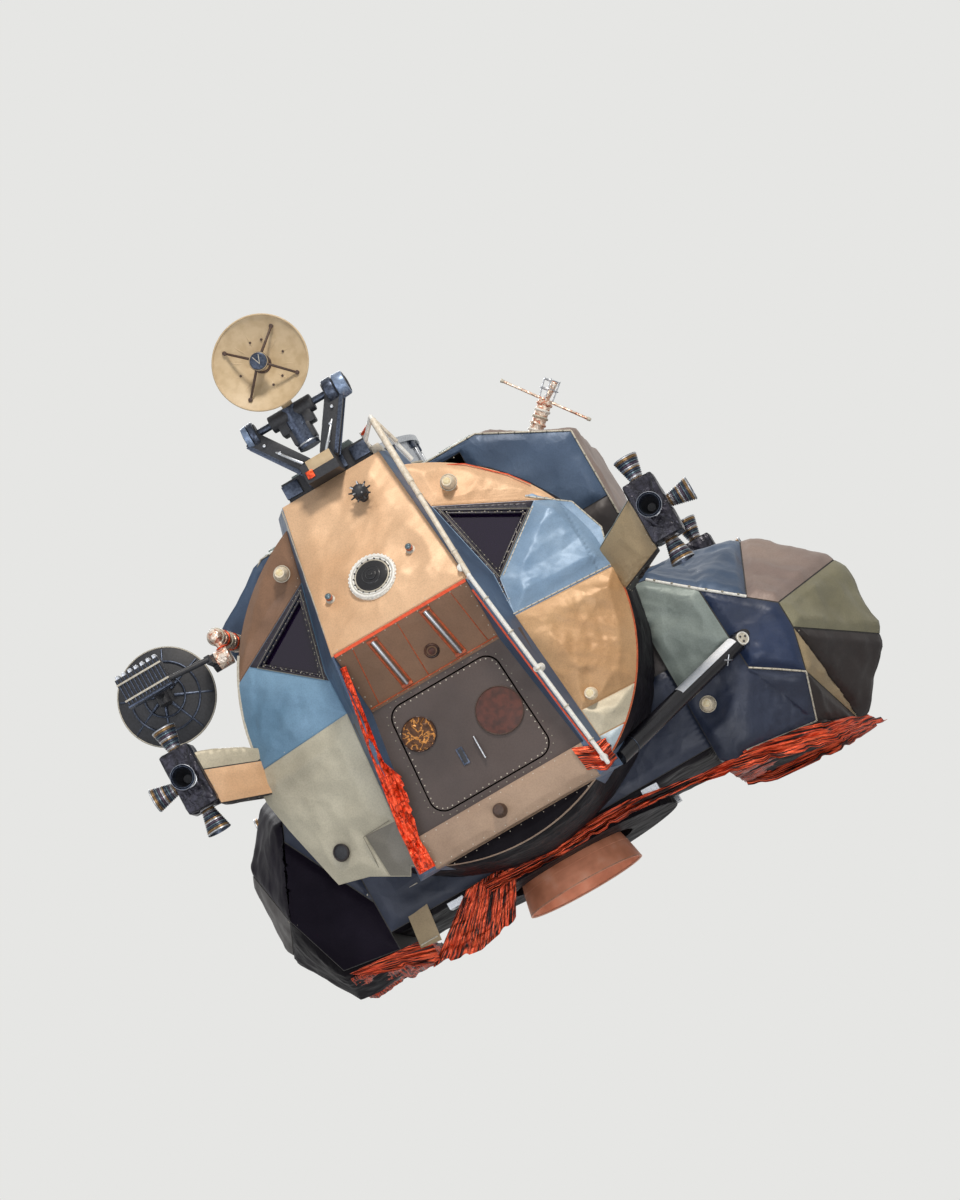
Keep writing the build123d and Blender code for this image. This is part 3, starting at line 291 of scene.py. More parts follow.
# Darker films on an almost black ground, with small painted glints. On the gold disc the bright
# colour lies in the creases, as painted highlight on its wrinkles.
BRONZE_FOIL = foil("dark_bronze_foil", "#5A3A2C", "#3A2823", "#1A1315")
VIOLET_FOIL = foil("grey_violet_foil", "#35333F", "#2B2A34", "#18171F", size=48, depth=0.010, roughness=0.3)
GOLD_FOIL = foil("gold_foil_disc", "#3A2416", "#55341B", "#C8873E", size=34, depth=0.008)
print("foils ready")

# %% [markdown]
# ## Paint and bare metal
# Small fittings need plainer finishes. Each starts from the typical values of its material: paint
# is no metal and half rough, and bare metal is all metal with a fine grain.
# %% Paint and metal material
def plain(name, pale, deep, metallic, roughness, grain=14, bump=0.1):
    """Paint or bare metal. The size of its grain is in millimetres, drawn coarser than real, to show."""
    material, tree, place = blank(name)
    spots = put(tree, "TexNoise", {"Vector": place, "Scale": per_mm(grain), "Detail": 3.0})
    colour = put(tree, "ValToRGB", {"Fac": spots.outputs["Fac"]}, [(0.35, deep), (0.6, pale)])
    relief = put(tree, "Bump", {"Height": spots.outputs["Fac"], "Strength": bump, "Distance": 0.002})
    shader = put(tree, "BsdfPrincipled", {"Base Color": colour.outputs["Color"], "Metallic": metallic,
                                          "Roughness": roughness, "Normal": relief.outputs["Normal"]})
    put(tree, "OutputMaterial", {"Surface": shader.outputs[0]})
    return material


# Brushed and sprayed paint: no metal, half rough, so that it is even and has one broad highlight.
WHITE = plain("white_thermal_paint", "#F2F0EA", "#E2DFD6", 0.0, 0.5)
CREAM = plain("cream_dish_paint", "#C6AF8C", "#B8A07C", 0.0, 0.5, grain=60)
LAMP_CREAM = plain("cream_lamp_paint", "#F1E4CC", "#E2D2B6", 0.0, 0.5)
# The white band on the strut is a painted highlight, standing in for the sunlit line on the tube.
STRUT_PAINTED_HIGHLIGHT = plain("white_painted_highlight_on_strut", "#FBFBFD", "#EEF1F6", 0.0, 0.35)
BLACK = plain("matt_black_paint", "#2B2C31", "#1D1E22", 0.0, 0.55)
DARK_BROWN = plain("dark_brown_paint", "#4A3428", "#38261D", 0.0, 0.5)
FRAME_BLACK = plain("violet_black_window_frame", "#2A2430", "#1A1620", 0.1, 0.4, grain=30)
LINING = plain("grey_cabin_lining", "#8D9190", "#6F7473", 0.0, 0.6, grain=40)
# A glossy tube shows a thin sharp line of light along its whole length.
GLOSS_BLACK = plain("gloss_black_tube", "#1C1B21", "#111015", 0.0, 0.22, bump=0.03)
print(len(bpy.data.materials), "materials")

# %% Bare and heat-tinted metals
# Machined aluminium and blued steel: all metal, so that they take the light of the room.
METAL = plain("machined_aluminium", "#C4C7CC", "#A9ACB2", 1.0, 0.35, grain=8)
STEEL = plain("blued_dark_steel", "#4E5666", "#363C4A", 0.8, 0.35)
DRUM_BLUE = plain("blue_grey_bearing_cover", "#8596B0", "#6C7D98", 0.5, 0.35)
# Firing tints steel in bands, from straw through violet to blue.
GOLD_TINT = plain("straw_tinted_steel", "#9C7E58", "#7A6044", 0.8, 0.3)
VIOLET_TINT = plain("violet_tinted_steel", "#5E5260", "#453C4A", 0.8, 0.3)
BLUE_TINT = plain("blue_tinted_steel", "#74868F", "#55666F", 0.8, 0.3)
# Oxide has dulled these two, so that they are blotchy and hardly metallic. The copper sits in the
# shaded hatch recess and is also painted darker, as painted shade.
COPPER = plain("oxidised_copper_disc_with_painted_shade", "#582F25", "#3B221C", 0.2, 0.5, grain=40, bump=0.3)
EDGE_PINK = plain("worn_bell_lip", "#D9A58C", "#BE8A72", 0.2, 0.5)
print(len(bpy.data.materials), "materials")

# %% Tapes, sealant and small glass
# Tape and sealant: matt lines that draw each seam, pale or orange, and dark where a seam is open.
ORANGE = plain("orange_red_tape", "#E8562A", "#D2451C", 0.0, 0.45)
RUST_TAPE = plain("aged_orange_tape", "#B85428", "#94401F", 0.0, 0.5)
TAPE = plain("pale_edge_tape", "#C9C2B2", "#B4AC9C", 0.1, 0.5)
CREAM_TAPE = plain("cream_wrapped_tape", "#E6DCCB", "#CDBFA9", 0.0, 0.5, grain=24, bump=0.3)
DARK_SEAM = plain("dark_seam_sealant", "#3A3836", "#2A2827", 0.0, 0.6)
# Moulded lamp glass: smooth enough for a small hard highlight.
DOME_GLASS = plain("black_dome_glass", "#17171B", "#0C0C10", 0.0, 0.25)
AMBER = plain("straw_lamp_glass", "#F3E4BE", "#E6CD98", 0.0, 0.25)
print(len(bpy.data.materials), "materials")

# %% [markdown]
# The window glass is dark and layered, with coatings that turn its reflections violet.
# The engine bell is ablative plastic in a warm copper pink, wound in rings and baked.
# %% Glass and engine bell
def window_glass():
    """Coated glass: almost a mirror at a slant, and a dark violet hole from the front."""
    material, tree, _ = blank("dark_violet_window_glass")
    shader = put(tree, "BsdfPrincipled", {"Base Color": linear("#1C1029"), "Roughness": 0.05, "IOR": 1.52,
                                          "Alpha": 0.9})
    put(tree, "OutputMaterial", {"Surface": shader.outputs[0]})
    return material


def bell_skin():
    """Baked ablative plastic: blotchy and matt, with faint rings from its winding."""
    material, tree, place = blank("copper_pink_ablative_bell")
    # The winding is a few millimetres wide. It is drawn coarser, at 150 mm to a wave, so that it shows.
    rings = put(tree, "TexWave", {"Vector": place, "Scale": per_mm(150), "Distortion": 1.0, "Detail": 2.0},
                bands_direction="Z")
    blotch = put(tree, "TexNoise", {"Vector": place, "Scale": per_mm(160), "Detail": 4.0})
    colour = put(tree, "ValToRGB", {"Fac": blotch.outputs["Fac"]},
                 [(0.3, "#CF8464"), (0.55, "#EC9E7C"), (0.75, "#F6B698")])
    relief = put(tree, "Bump", {"Height": rings.outputs["Fac"], "Strength": 0.2, "Distance": 0.002})
    shader = put(tree, "BsdfPrincipled", {"Base Color": colour.outputs["Color"], "Metallic": 0.2,
                                          "Roughness": 0.5, "Normal": relief.outputs["Normal"]})
    put(tree, "OutputMaterial", {"Surface": shader.outputs[0]})
    return material


GLASS = window_glass()
BELL = bell_skin()
print("glass and bell ready")

# %% [markdown]
# ## First coat: every node gets its finish
# Nodes that keep their own solid show it, so each gets a material. Nodes that are covered by
# sheets below show only in the narrow seams, so they get a dark sealant.
# %% Finish of each node
NODE_FINISH = {
    "nose_panel": TAN, "soffit": TAN_IN_PAINTED_SHADE, "hatch_bulkhead": TAUPE_PAINTED_SHADE, "sill_panel": SILL_TAN_SHADED, "column_left": SLATE,
    "column_right": SLATE, "cabin_drum": NAVY, "brow_left": TAN_IN_PAINTED_SHADE, "brow_right": TAN, "cheek_left": TEAL,
    "cheek_right": SILVER, "low_cheek_left": SHADED_SAGE, "low_cheek_right": WARM_TAN, "windows": GLASS,
    "forward_hatch": TAUPE_PAINTED_SHADE, "cabin_floor": LINING, "midsection": DARK_SEAM, "docking_tunnel": METAL,
    "overhead_hatch": METAL, "engine_nozzle": BELL, "engine_block": BLACK, "base_skirt": BLACKISH,
    "lower_fittings": METAL, "fuel_bulge": DARK_SEAM, "oxidizer_bulge": DARK_SEAM, "aft_bay": DARK_SEAM,
    "equipment_rack": DARK_SEAM, "thrusters_front_left": BLACK, "thrusters_front_right": BLACK,
    "thrusters_rear_left": BLACK, "thrusters_rear_right": BLACK, "outriggers_front": DARK_SEAM,
    "outriggers_rear": DARK_SEAM, "radar_fork": BLACK, "radar_shaft": STEEL, "radar_dish": CREAM,
    "antenna_boom": WHITE_FOIL, "antenna_yoke": BLACK, "antenna_dish": BLACK, "tank_strut": GLOSS_BLACK,
    "handrail": WHITE, "tracking_light": WHITE, "forward_antenna": BLACK, "docking_lamps": WHITE,
    "inflight_antenna": WHITE_FOIL,
}
for name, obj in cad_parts.items():
    obj.data.materials.clear()
    obj.data.materials.append(NODE_FINISH[name])
print(len(NODE_FINISH), "nodes finished")

# %% [markdown]
# ## Small parts, made and joined
# Fittings are put together from a few turned or sawn parts: bars, cones, slabs and rings. Each
# starts as a primitive at its size and place, has its sharp edges rounded, and is painted.
# Then the parts of one fitting are joined, and the fitting rides on its body.
# %% Parts
def start_with(add, **settings):
    """One primitive, added by its operator with nothing else selected."""
    bpy.ops.object.select_all(action="DESELECT")
    add(**settings)
    return bpy.context.object


def paint(obj, finish):
    """Gives a whole piece one finish."""
    obj.data.materials.clear()
    obj.data.materials.append(finish)


def ride_on(obj, body):
    """The piece moves with a body."""
    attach(obj, body)


def smooth_and_ride(obj, angle, body):
    """Smooths what bends less than an angle, and lets the finished piece ride on its body."""
    pick(obj)
    bpy.ops.object.shade_smooth_by_angle(angle=math.radians(angle))
    ride_on(obj, body)
    print(obj.name, len(obj.data.polygons), "faces")
    return obj


def aim(start, end):
    """The turn that points +Z from one place to another."""
    return (Vector(end) - Vector(start)).to_track_quat("Z", "Y").to_matrix().to_4x4()


def around(angle, first, second):
    """The direction at an angle, in radians, from a first axis towards a second."""
    return Vector(first) * math.cos(angle) + Vector(second) * math.sin(angle)


ACROSS, FACE_OUT, UP = Vector((1, 0, 0)), Vector((0, -1, 0)), Vector((0, 0, 1))
THIRD, FIFTH, NINTH = 2.1, 1.257, 0.698  # shares of a turn, in radians
print("part helpers ready")

# %% Bars, slabs and rings
def bar(start, end, radius, finish, tip=None, sides=16):
    """A round bar between two places, or a cone where the tip's radius differs."""
    start, end = Vector(start), Vector(end)
    long = (end - start).length
    obj = start_with(bpy.ops.mesh.primitive_cone_add, vertices=sides, radius1=radius,
                     radius2=radius if tip is None else tip, depth=long)
    obj.matrix_world = Matrix.Translation((start + end) / 2) @ aim(start, end)
    settle(obj)
    modify(obj, "BEVEL", width=min(radius, long) * 0.15, segments=2, limit_method="ANGLE")
    paint(obj, finish)
    return obj


def slab(centre, size, finish, turn=None):
    """A block with rounded edges. The turn is a matrix about its centre."""
    obj = start_with(bpy.ops.mesh.primitive_cube_add, size=1)
    obj.scale = size
    settle(obj)
    modify(obj, "BEVEL", width=min(size) * 0.12, segments=2)
    obj.matrix_world = Matrix.Translation(centre) @ (turn.to_4x4() if turn else Matrix.Identity(4))
    settle(obj)
    paint(obj, finish)
    return obj


def ring(centre, normal, radius, wire, finish, sides=40):
    """A round ring that faces along a normal."""
    obj = start_with(bpy.ops.mesh.primitive_torus_add, major_radius=radius, minor_radius=wire,
                     major_segments=sides, minor_segments=8)
    obj.matrix_world = Matrix.Translation(centre) @ aim((0, 0, 0), normal)
    settle(obj)
    paint(obj, finish)
    return obj


def join(name, parts, body="stage", angle=35):
    """Joins the parts of one fitting, which then rides on a body."""
    pick(parts[0])
    for part in parts:
        part.select_set(True)
    bpy.ops.object.join()
    obj = parts[0]
    obj.name = name
    obj.data.name = name
    return smooth_and_ride(obj, angle, body)


print("bars, slabs and rings ready")

# %% [markdown]
# Fasteners show as pale dots along every seam. One round head is modelled, and its mesh is
# copied to each place, so that all the heads of a sheet are one piece.
# %% Fastener heads
def head_shape():
    """One low round head, as points and faces, looking along +Z."""
    obj = start_with(bpy.ops.mesh.primitive_uv_sphere_add, segments=8, ring_count=6, radius=1)
    edit(obj, "VERT")
    bpy.ops.mesh.select_all(action="SELECT")
    bpy.ops.mesh.bisect(plane_co=(0, 0, -0.2), plane_no=(0, 0, 1), clear_inner=True, use_fill=True)
    bpy.ops.mesh.select_all(action="SELECT")
    bpy.ops.transform.resize(value=(1, 1, 0.5))
    done()
    points = [v.co.copy() for v in obj.data.vertices]
    faces = [tuple(f.vertices) for f in obj.data.polygons]
    bpy.data.objects.remove(obj)
    return points, faces


HEAD_POINTS, HEAD_FACES = head_shape()


def heads(name, places, radius=0.0055, finish=None, body="stage"):
    """Fastener heads at rows of place and normal, as one piece."""
    points = []
    faces = []
    for spot, normal in places:
        turn = Vector(normal).to_track_quat("Z", "Y")
        first = len(points)
        points.extend(Vector(spot) + turn @ (p * radius) for p in HEAD_POINTS)
        faces.extend(tuple(first + i for i in face) for face in HEAD_FACES)
    obj = mesh_piece(name, points, faces)
    paint(obj, finish or WHITE)
    ride_on(obj, body)
    return obj


def spaced(start, end, spacing):
    """Places along a line, about a spacing apart, starting half a spacing in."""
    start, end = Vector(start), Vector(end)
    count = max(1, round((end - start).length / spacing))
    return [start.lerp(end, (k + 0.5) / count) for k in range(count)]


print("head has", len(HEAD_FACES), "faces")

# %% [markdown]
# ## Sheets over the solids
# The real skin is made of separate sheets that meet in narrow taped seams. A sheet starts as a
# copy of its solid. The copy's loose triangles are merged, flat facets are made whole, and the
# facets that carry a sheet are kept. Where two finishes meet, the sheets are parted, inset by
# half a seam, and lifted. Elsewhere one sheet is bent round the ridge, as the real ones are.
# %% From solid to sheets
FLAT_ANGLE = math.radians(2)


def facets_of(node_name, name, keep):
    """A merged copy of a node's mesh, with only the facets that pass a test of centre and normal."""
    obj = bpy.data.objects.new(name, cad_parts[node_name].data.copy())
    bpy.context.scene.collection.objects.link(obj)
    edit(obj)
    bpy.ops.mesh.select_all(action="SELECT")
    bpy.ops.mesh.remove_doubles(threshold=0.0002)
    bpy.ops.mesh.dissolve_limited(angle_limit=FLAT_ANGLE)
    done()
    select_faces(obj, lambda c, n: not keep(c, n))
    bpy.ops.mesh.delete(type="FACE")
    bpy.ops.mesh.select_all(action="SELECT")
    bpy.ops.mesh.remove_doubles(threshold=0.003)
    done()
    return obj


print("facets within", round(math.degrees(FLAT_ANGLE)), "degrees are merged")

# %% Cutting, parting and painting
def cut(obj, point, normal, test):
    """Divides the facets that pass a test along a plane."""
    select_faces(obj, test)
    bpy.ops.mesh.bisect(plane_co=point, plane_no=normal)
    done()


def part_sheets(obj, seam, parted):
    """Parts the sheets where their finishes meet, or at every ridge, and insets each by half a seam."""
    edit(obj, "EDGE")
    done()
    finishes = {}
    for face in obj.data.polygons:
        for key in face.edge_keys:
            finishes.setdefault(key, set()).add(face.material_index)
    for edge in obj.data.edges:
        edge.select = parted or len(finishes.get(edge.key, ())) > 1
    bpy.ops.object.mode_set(mode="EDIT")
    bpy.ops.mesh.edge_split(type="EDGE")
    bpy.ops.mesh.select_mode(type="FACE")
    bpy.ops.mesh.select_all(action="SELECT")
    bpy.ops.mesh.inset(thickness=seam / 2, use_individual=parted)
    bpy.ops.mesh.select_all(action="INVERT")
    bpy.ops.mesh.delete(type="FACE")
    done()


def paint_near(obj, seeds):
    """Gives each facet the finish of the nearest seed: rows of x, y, z and finish, front or rear."""
    obj.data.materials.clear()
    finishes = []
    for row in seeds:
        if row[3] not in finishes:
            finishes.append(row[3])
            obj.data.materials.append(row[3])
    for face in obj.data.polygons:
        spot = Vector((face.center.x, -abs(face.center.y), face.center.z))
        nearest = min(seeds, key=lambda row: (Vector(row[:3]) - spot).length)
        face.material_index = finishes.index(nearest[3])


print("sheets can be cut, parted and painted")

# %% Even triangles
def grid_cut(obj, step):
    """Cuts a front sheet along upright and level planes, so that its triangles come out even."""
    places = [vertex.co for vertex in obj.data.vertices]
    edit(obj)
    for axis, normal in ((0, (1, 0, 0)), (2, (0, 0, 1))):
        low, high = min(p[axis] for p in places), max(p[axis] for p in places)
        for k in range(round((high - low) / step)):
            bpy.ops.mesh.select_all(action="SELECT")
            bpy.ops.mesh.bisect(plane_co=[n * (low + (k + 0.5) * step) for n in normal], plane_no=normal)
    done()


def refine(obj, size, turns=9):
    """Halves long edges until none is longer than size, so that the sheet can bend."""
    for _ in range(turns):
        edit(obj)
        bpy.ops.mesh.select_all(action="SELECT")
        bpy.ops.mesh.quads_convert_to_tris(quad_method="SHORTEST_DIAGONAL", ngon_method="BEAUTY")
        bpy.ops.mesh.select_mode(type="EDGE")
        bpy.ops.mesh.select_all(action="DESELECT")
        done()
        points = obj.data.vertices
        count = 0
        for edge in obj.data.edges:
            edge.select = (points[edge.vertices[0]].co - points[edge.vertices[1]].co).length > size
            count += edge.select
        if not count:
            return
        bpy.ops.object.mode_set(mode="EDIT")
        bpy.ops.mesh.subdivide(number_cuts=1)
        done()


print("sheets can be refined")

# %% [markdown]
# A dented sheet is mostly flat facets between straight creases. The distance to the nearest of
# many scattered points has just that shape: cones that meet in straight lines. So the height of
# a sheet is a sum of three such patterns, each drawn out in its own direction. At the rim, where
# the fasteners hold the sheet down, the height goes to nothing.
# %% Creases
def folds(seed, length, way=None):
    """Rows of direction, size, shift, share and stretch for fold_height. The largest may run a given way."""
    draw = random.Random(seed)
    rows = []
    for scale, share in ((1.0, 1.0), (0.55, 0.5), (0.26, 0.2)):
        direction = Vector((draw.uniform(-1, 1), draw.uniform(-1, 1), draw.uniform(-1, 1))).normalized()
        shift = Vector((draw.uniform(0, 50), draw.uniform(0, 50), draw.uniform(0, 50)))
        if way and scale > 0.5:
            rows.append((Vector(way).normalized(), length * scale, shift, share, 0.78))
        else:
            rows.append((direction, length * scale, shift, share, 0.6))
    return rows


def fold_height(point, waves):
    """Height from 0 to about 1 at a place: flat facets between straight creases."""
    total = 0
    weight = 0
    for direction, size, shift, share, stretch in waves:
        drawn_out = point - direction * direction.dot(point) * stretch
        turned = Matrix.Rotation(shift.x, 3, direction) @ drawn_out
        total += share * noise.voronoi(turned / size + shift, distance_metric="MANHATTAN")[0][0]
        weight += share
    return 0.75 * total / weight  # the distance to the nearest point seldom passes 1.3


print("height at one place", round(fold_height(Vector((1.0, -1.5, 1.0)), folds(1, 0.3)), 3))

# %% Rims and calm places
def rim_keys(mesh):
    """The open edges of a mesh, as pairs of point numbers."""
    uses = {}
    for face in mesh.polygons:
        for key in face.edge_keys:
            uses[key] = uses.get(key, 0) + 1
    return {key for key, count in uses.items() if count == 1}


def rim_tree(mesh):
    """The points on a mesh's open edges, for finding the nearest."""
    rim = {index for key in rim_keys(mesh) for index in key}
    tree = kdtree.KDTree(len(rim))
    for index in rim:
        tree.insert(mesh.vertices[index].co, index)
    tree.balance()
    return tree


# Sheets lie tight round the lamps, the round port and the two studs of the nose.
LAMP_PLACES = [(0.620, -1.510, 2.180), (-0.546, -1.530, 2.210), (0.750, -1.690, 0.590),
               (1.283, -0.800, 0.287), (-0.058, -1.850, 0.236)]
PORT_PLACE = (-1.040, 0.530)
STUD_PLACES = [(0.246, 1.875), (-0.324, 1.857)]
CALM_PLACES = [(x, z) for x, y, z in LAMP_PLACES] + [PORT_PLACE] + STUD_PLACES
CALM_RADIUS = 0.16
CABIN_FACE_Y = -0.7
print(len(CALM_PLACES), "places where the sheets lie tight")

# %% Denting and dressing
# Each is thicker than the real one, so that it is a solid sheet with two sides.
SHEET_THICK, FILM_THICK, FOIL_THICK = 0.0025, 0.0015, 0.002


def crease(obj, depth, length, seed, hold=0.05, lift=0.003, way=None):
    """Dents a sheet outwards by up to a depth, with creases about a length apart, and calm by the lamps."""
    waves = folds(seed, length, way)
    mesh = obj.data
    tree = rim_tree(mesh)
    moved = []
    for vertex in mesh.vertices:
        spot = vertex.co
        held = min(1, tree.find(spot)[2] / hold)
        if spot.y < CABIN_FACE_Y:
            near = min(math.hypot(spot.x - x, spot.z - z) for x, z in CALM_PLACES)
            held = min(held, near / CALM_RADIUS)
        moved.append(spot + vertex.normal * (lift + depth * held * fold_height(spot, waves)))
    for vertex, place in zip(mesh.vertices, moved):
        vertex.co = place
    mesh.update()


def rim_places(obj, inset, spacing):
    """Rows of place and normal along each flat face's rim, a little in from its edge."""
    found = []
    rim = rim_keys(obj.data)
    for face in obj.data.polygons:
        for key in face.edge_keys:
            start, end = [obj.data.vertices[i].co for i in key]
            if (face.center - start).cross(end - start).dot(face.normal) > 0:
                start, end = end, start
            if key in rim and (end - start).length > spacing:
                inwards = face.normal.cross(end - start).normalized() * inset + face.normal * 0.003
                found += [(spot + inwards, face.normal.copy()) for spot in spaced(start, end, spacing)]
    return found


def thicken(obj, thickness, body):
    """Gives a bent sheet its thickness, inwards, and lets it ride on its body."""
    modify(obj, "SOLIDIFY", thickness=thickness, offset=-1.0)
    smooth_and_ride(obj, 30, body)


def dressed(node_name, name, keep, finish, depth=0.008, length=0.45, seed=1, seam=0.008,
            size=0.03, spacing=0.075, hold=0.05, cuts=(), parted=False, grid=False, way=None):
    """Sheets over the kept facets of a node: cut, painted, parted, riveted and dented."""
    obj = facets_of(node_name, name, keep)
    for point, normal, test in cuts:
        cut(obj, point, normal, test)
    if isinstance(finish, list):
        paint_near(obj, finish)
    else:
        paint(obj, finish)
    part_sheets(obj, seam, parted)
    if spacing:
        heads(name + "_heads", rim_places(obj, 0.013, spacing), 0.0042, TAPE)
    if grid:
        grid_cut(obj, size * 1.8)
    refine(obj, size)
    crease(obj, depth, length, seed, hold, way=way)
    thicken(obj, SHEET_THICK, "stage")


print("dents taper off within", CALM_RADIUS, "m of a lamp")

# %% [markdown]
# ## Cabin face
# The front of the cabin is a nose above the hatch and slanting cheeks to each side. Each cheek has
# a dark frame round its window. The bright right cheek is the most dented, and its creases catch
# the light most. Cheeks are cut on an even grid first, because long thin triangles would crack.
# %% Nose, brows and upper cheeks
def front(c, n):
    """A facet that faces forwards."""
    return n.y < -0.25


def upper_cheek(side, outside):
    """Seeds and cuts for one upper cheek: a dark frame round the window, and a sheet outside it."""
    seeds = [(side * 0.56, -1.60, 1.90, FRAME_BLACK), (side * 0.54, -1.68, 1.55, FRAME_BLACK),
             (side * 0.78, -1.50, 1.97, FRAME_BLACK), (side * 0.98, -1.50, 1.50, outside),
             (side * 1.06, -1.42, 1.78, outside), (side * 0.80, -1.62, 1.30, outside)]
    edge = ((side * 0.640, -1.6, 1.500), (side * 0.661, 0, -0.750), front)
    return seeds, [edge]


dressed("nose_panel", "nose_sheet", lambda c, n: n.y < -0.5 and n.z > 0.2 and c.y < -1.6, TAN, 0.050,
        0.28, 3, size=0.024, hold=0.12)
# The left brow is the same tan film as the right, painted darker as painted shade.
for word, finish, seed in (("right", TAN, 4), ("left", TAN_IN_PAINTED_SHADE, 5)):
    dressed("brow_" + word, "brow_sheet_" + word, front, finish, 0.036, 0.24, seed, size=0.024, hold=0.08)
seeds, cuts = upper_cheek(1, SILVER)
dressed("cheek_right", "cheek_sheet_right", front, seeds, 0.088, 0.27, 11, size=0.018,
        hold=0.10, cuts=cuts, grid=True, way=(0.93, 0.37, 0))
seeds, cuts = upper_cheek(-1, TEAL)
dressed("cheek_left", "cheek_sheet_left", front, seeds, 0.052, 0.28, 7, size=0.020,
        hold=0.11, cuts=cuts, grid=True)

# %% Low cheeks, sill and leaning wall
RIGHT_SEEDS = [(0.9, -1.6, 0.9, WARM_TAN), (0.8, -1.6, 0.45, PALE_SAGE), (0.66, -1.7, 0.22, PALE_BLUE)]
dressed("low_cheek_right", "low_cheek_sheet_right", front, RIGHT_SEEDS, 0.098, 0.26, 8, size=0.018,
        hold=0.11, grid=True, way=(0.82, 0.33, -0.58),
        cuts=[((0.8, -1.6, z), (0, 0, 1), front) for z in (0.53, 0.34)])
LEFT_SEEDS = [(-1.0, -1.6, 0.8, SHADED_SAGE), (-0.95, -1.6, 0.4, SHADED_SAGE), (-0.8, -1.6, 0.7, SHADED_SAGE),
              (-0.76, -1.6, 0.4, GREY_SAGE)]
dressed("low_cheek_left", "low_cheek_sheet_left", front, LEFT_SEEDS, 0.050, 0.32, 9, size=0.024,
        hold=0.12, grid=True,
        cuts=[((-0.868, -1.6, 0.5), (1, 0, 0.06), front),
              ((-0.8, -1.6, 0.535), (0.12, 0, 1), lambda c, n: front(c, n) and c.x > -0.87)])
# The sill sheet is in the darkened tan, a painted shade.
SILL_SEEDS = [(0, -1.87, 0.23, SILL_TAN_SHADED), (0, -1.75, 0.06, BLACKISH)]
dressed("sill_panel", "sill_sheet", front, SILL_SEEDS, 0.012, 0.3, 10)
# The wall under the nose is tan film painted darker, as painted shade.
dressed("soffit", "soffit_sheet", lambda c, n: n.y < -0.5, TAN_IN_PAINTED_SHADE, 0.004, 0.3, 12)

# %% [markdown]
# The drum behind the cheeks is covered with dark film, drawn over its curve in two pieces: fairly
# taut on the sides, and loose and badly crumpled under the cabin.
# %% Film on the drum
drum_low, drum_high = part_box("cabin_drum")
DRUM_AXIS_Z = (drum_low.z + drum_high.z) / 2
DRUM_R = drum_high.x
DRUM_CENTRE = Vector((0, 0, DRUM_AXIS_Z))


def on_drum(c, n):
    """A facet of the drum's outer curve."""
    return Vector((c.x, c.z - DRUM_AXIS_Z)).length > DRUM_R * 0.97 and abs(n.y) < 0.1


def film_on_drum(name, keep, finish, depth, length, seed):
    """One loose film over the part of the drum's curve that passes a test."""
    obj = facets_of("cabin_drum", name, lambda c, n: on_drum(c, n) and keep(c, n))
    paint(obj, finish)
    refine(obj, 0.06)
    crease(obj, depth, length, seed, hold=0.08, lift=0.002)
    thicken(obj, FILM_THICK, "stage")


film_on_drum("drum_film_low", lambda c, n: n.z < -0.55, BLACKISH, 0.030, 0.16, 31)
film_on_drum("drum_film_sides", lambda c, n: n.z >= -0.55, BLACKISH, 0.026, 0.26, 32)

# %% [markdown]
# ## Tank bulges, midsection and rear
# Facet by facet, the shields of the tanks differ in finish: coated, anodised or bare, and the
# facets that lie in shade are painted darker, as painted shade. So each takes its finish from a
# short table of places, and a facet that holds two sheets is cut first.
# %% Fuel bulge sheets
FUEL_SEEDS = [
    # x, y, z, finish
    (1.30, -0.75, 0.85, SAGE),
    (1.34, -0.75, 0.25, NAVY),
    (1.48, -0.51, 1.12, SLATE),
    (1.34, -0.30, 1.22, SLATE),
    (1.68, -0.26, 1.13, SLATE),
    (1.82, -0.50, 0.92, SLATE),
    (2.05, -0.33, 0.86, PINK),
    (2.18, -0.37, 0.51, OLIVE),
    (2.13, -0.25, 0.16, UMBER_PAINTED_SHADE),
    (1.97, -0.48, 0.14, KHAKI),
    (1.91, -0.40, -0.05, UMBER_PAINTED_SHADE),
    (1.79, -0.76, 0.59, DEEP_BLUE_SHADED),
    (1.83, -0.73, 0.32, DEEP_BLUE_SHADED),
    (1.58, -0.68, 0.06, NAVY),
    (1.77, -0.67, 0.14, NAVY),
    (1.46, -0.10, -0.10, BLACKISH),
]


def crest_facet(c, n):
    """The two facets high on the outer end, which hold two sheets each."""
    return abs(c.y) > 0.3 and n.z > 0.5 and c.x > 1.85


def front_facet(c, n):
    """The two upright facets beside the cabin, which hold two sheets each."""
    return abs(n.y) > 0.97 and c.x < 1.6


dressed("fuel_bulge", "fuel_shields", lambda c, n: c.x > 1.19, FUEL_SEEDS, 0.058, 0.26, 21,
        size=0.036, spacing=0.09,
        cuts=[((1.93, 0, 1.176), (0.70, 0.18, -0.50), lambda c, n: crest_facet(c, n) and c.y < 0),
              ((1.93, 0, 1.176), (0.70, -0.18, -0.50), lambda c, n: crest_facet(c, n) and c.y > 0),
              ((1.36, -0.74, 0.48), (-0.12, 0, 0.35), front_facet)])

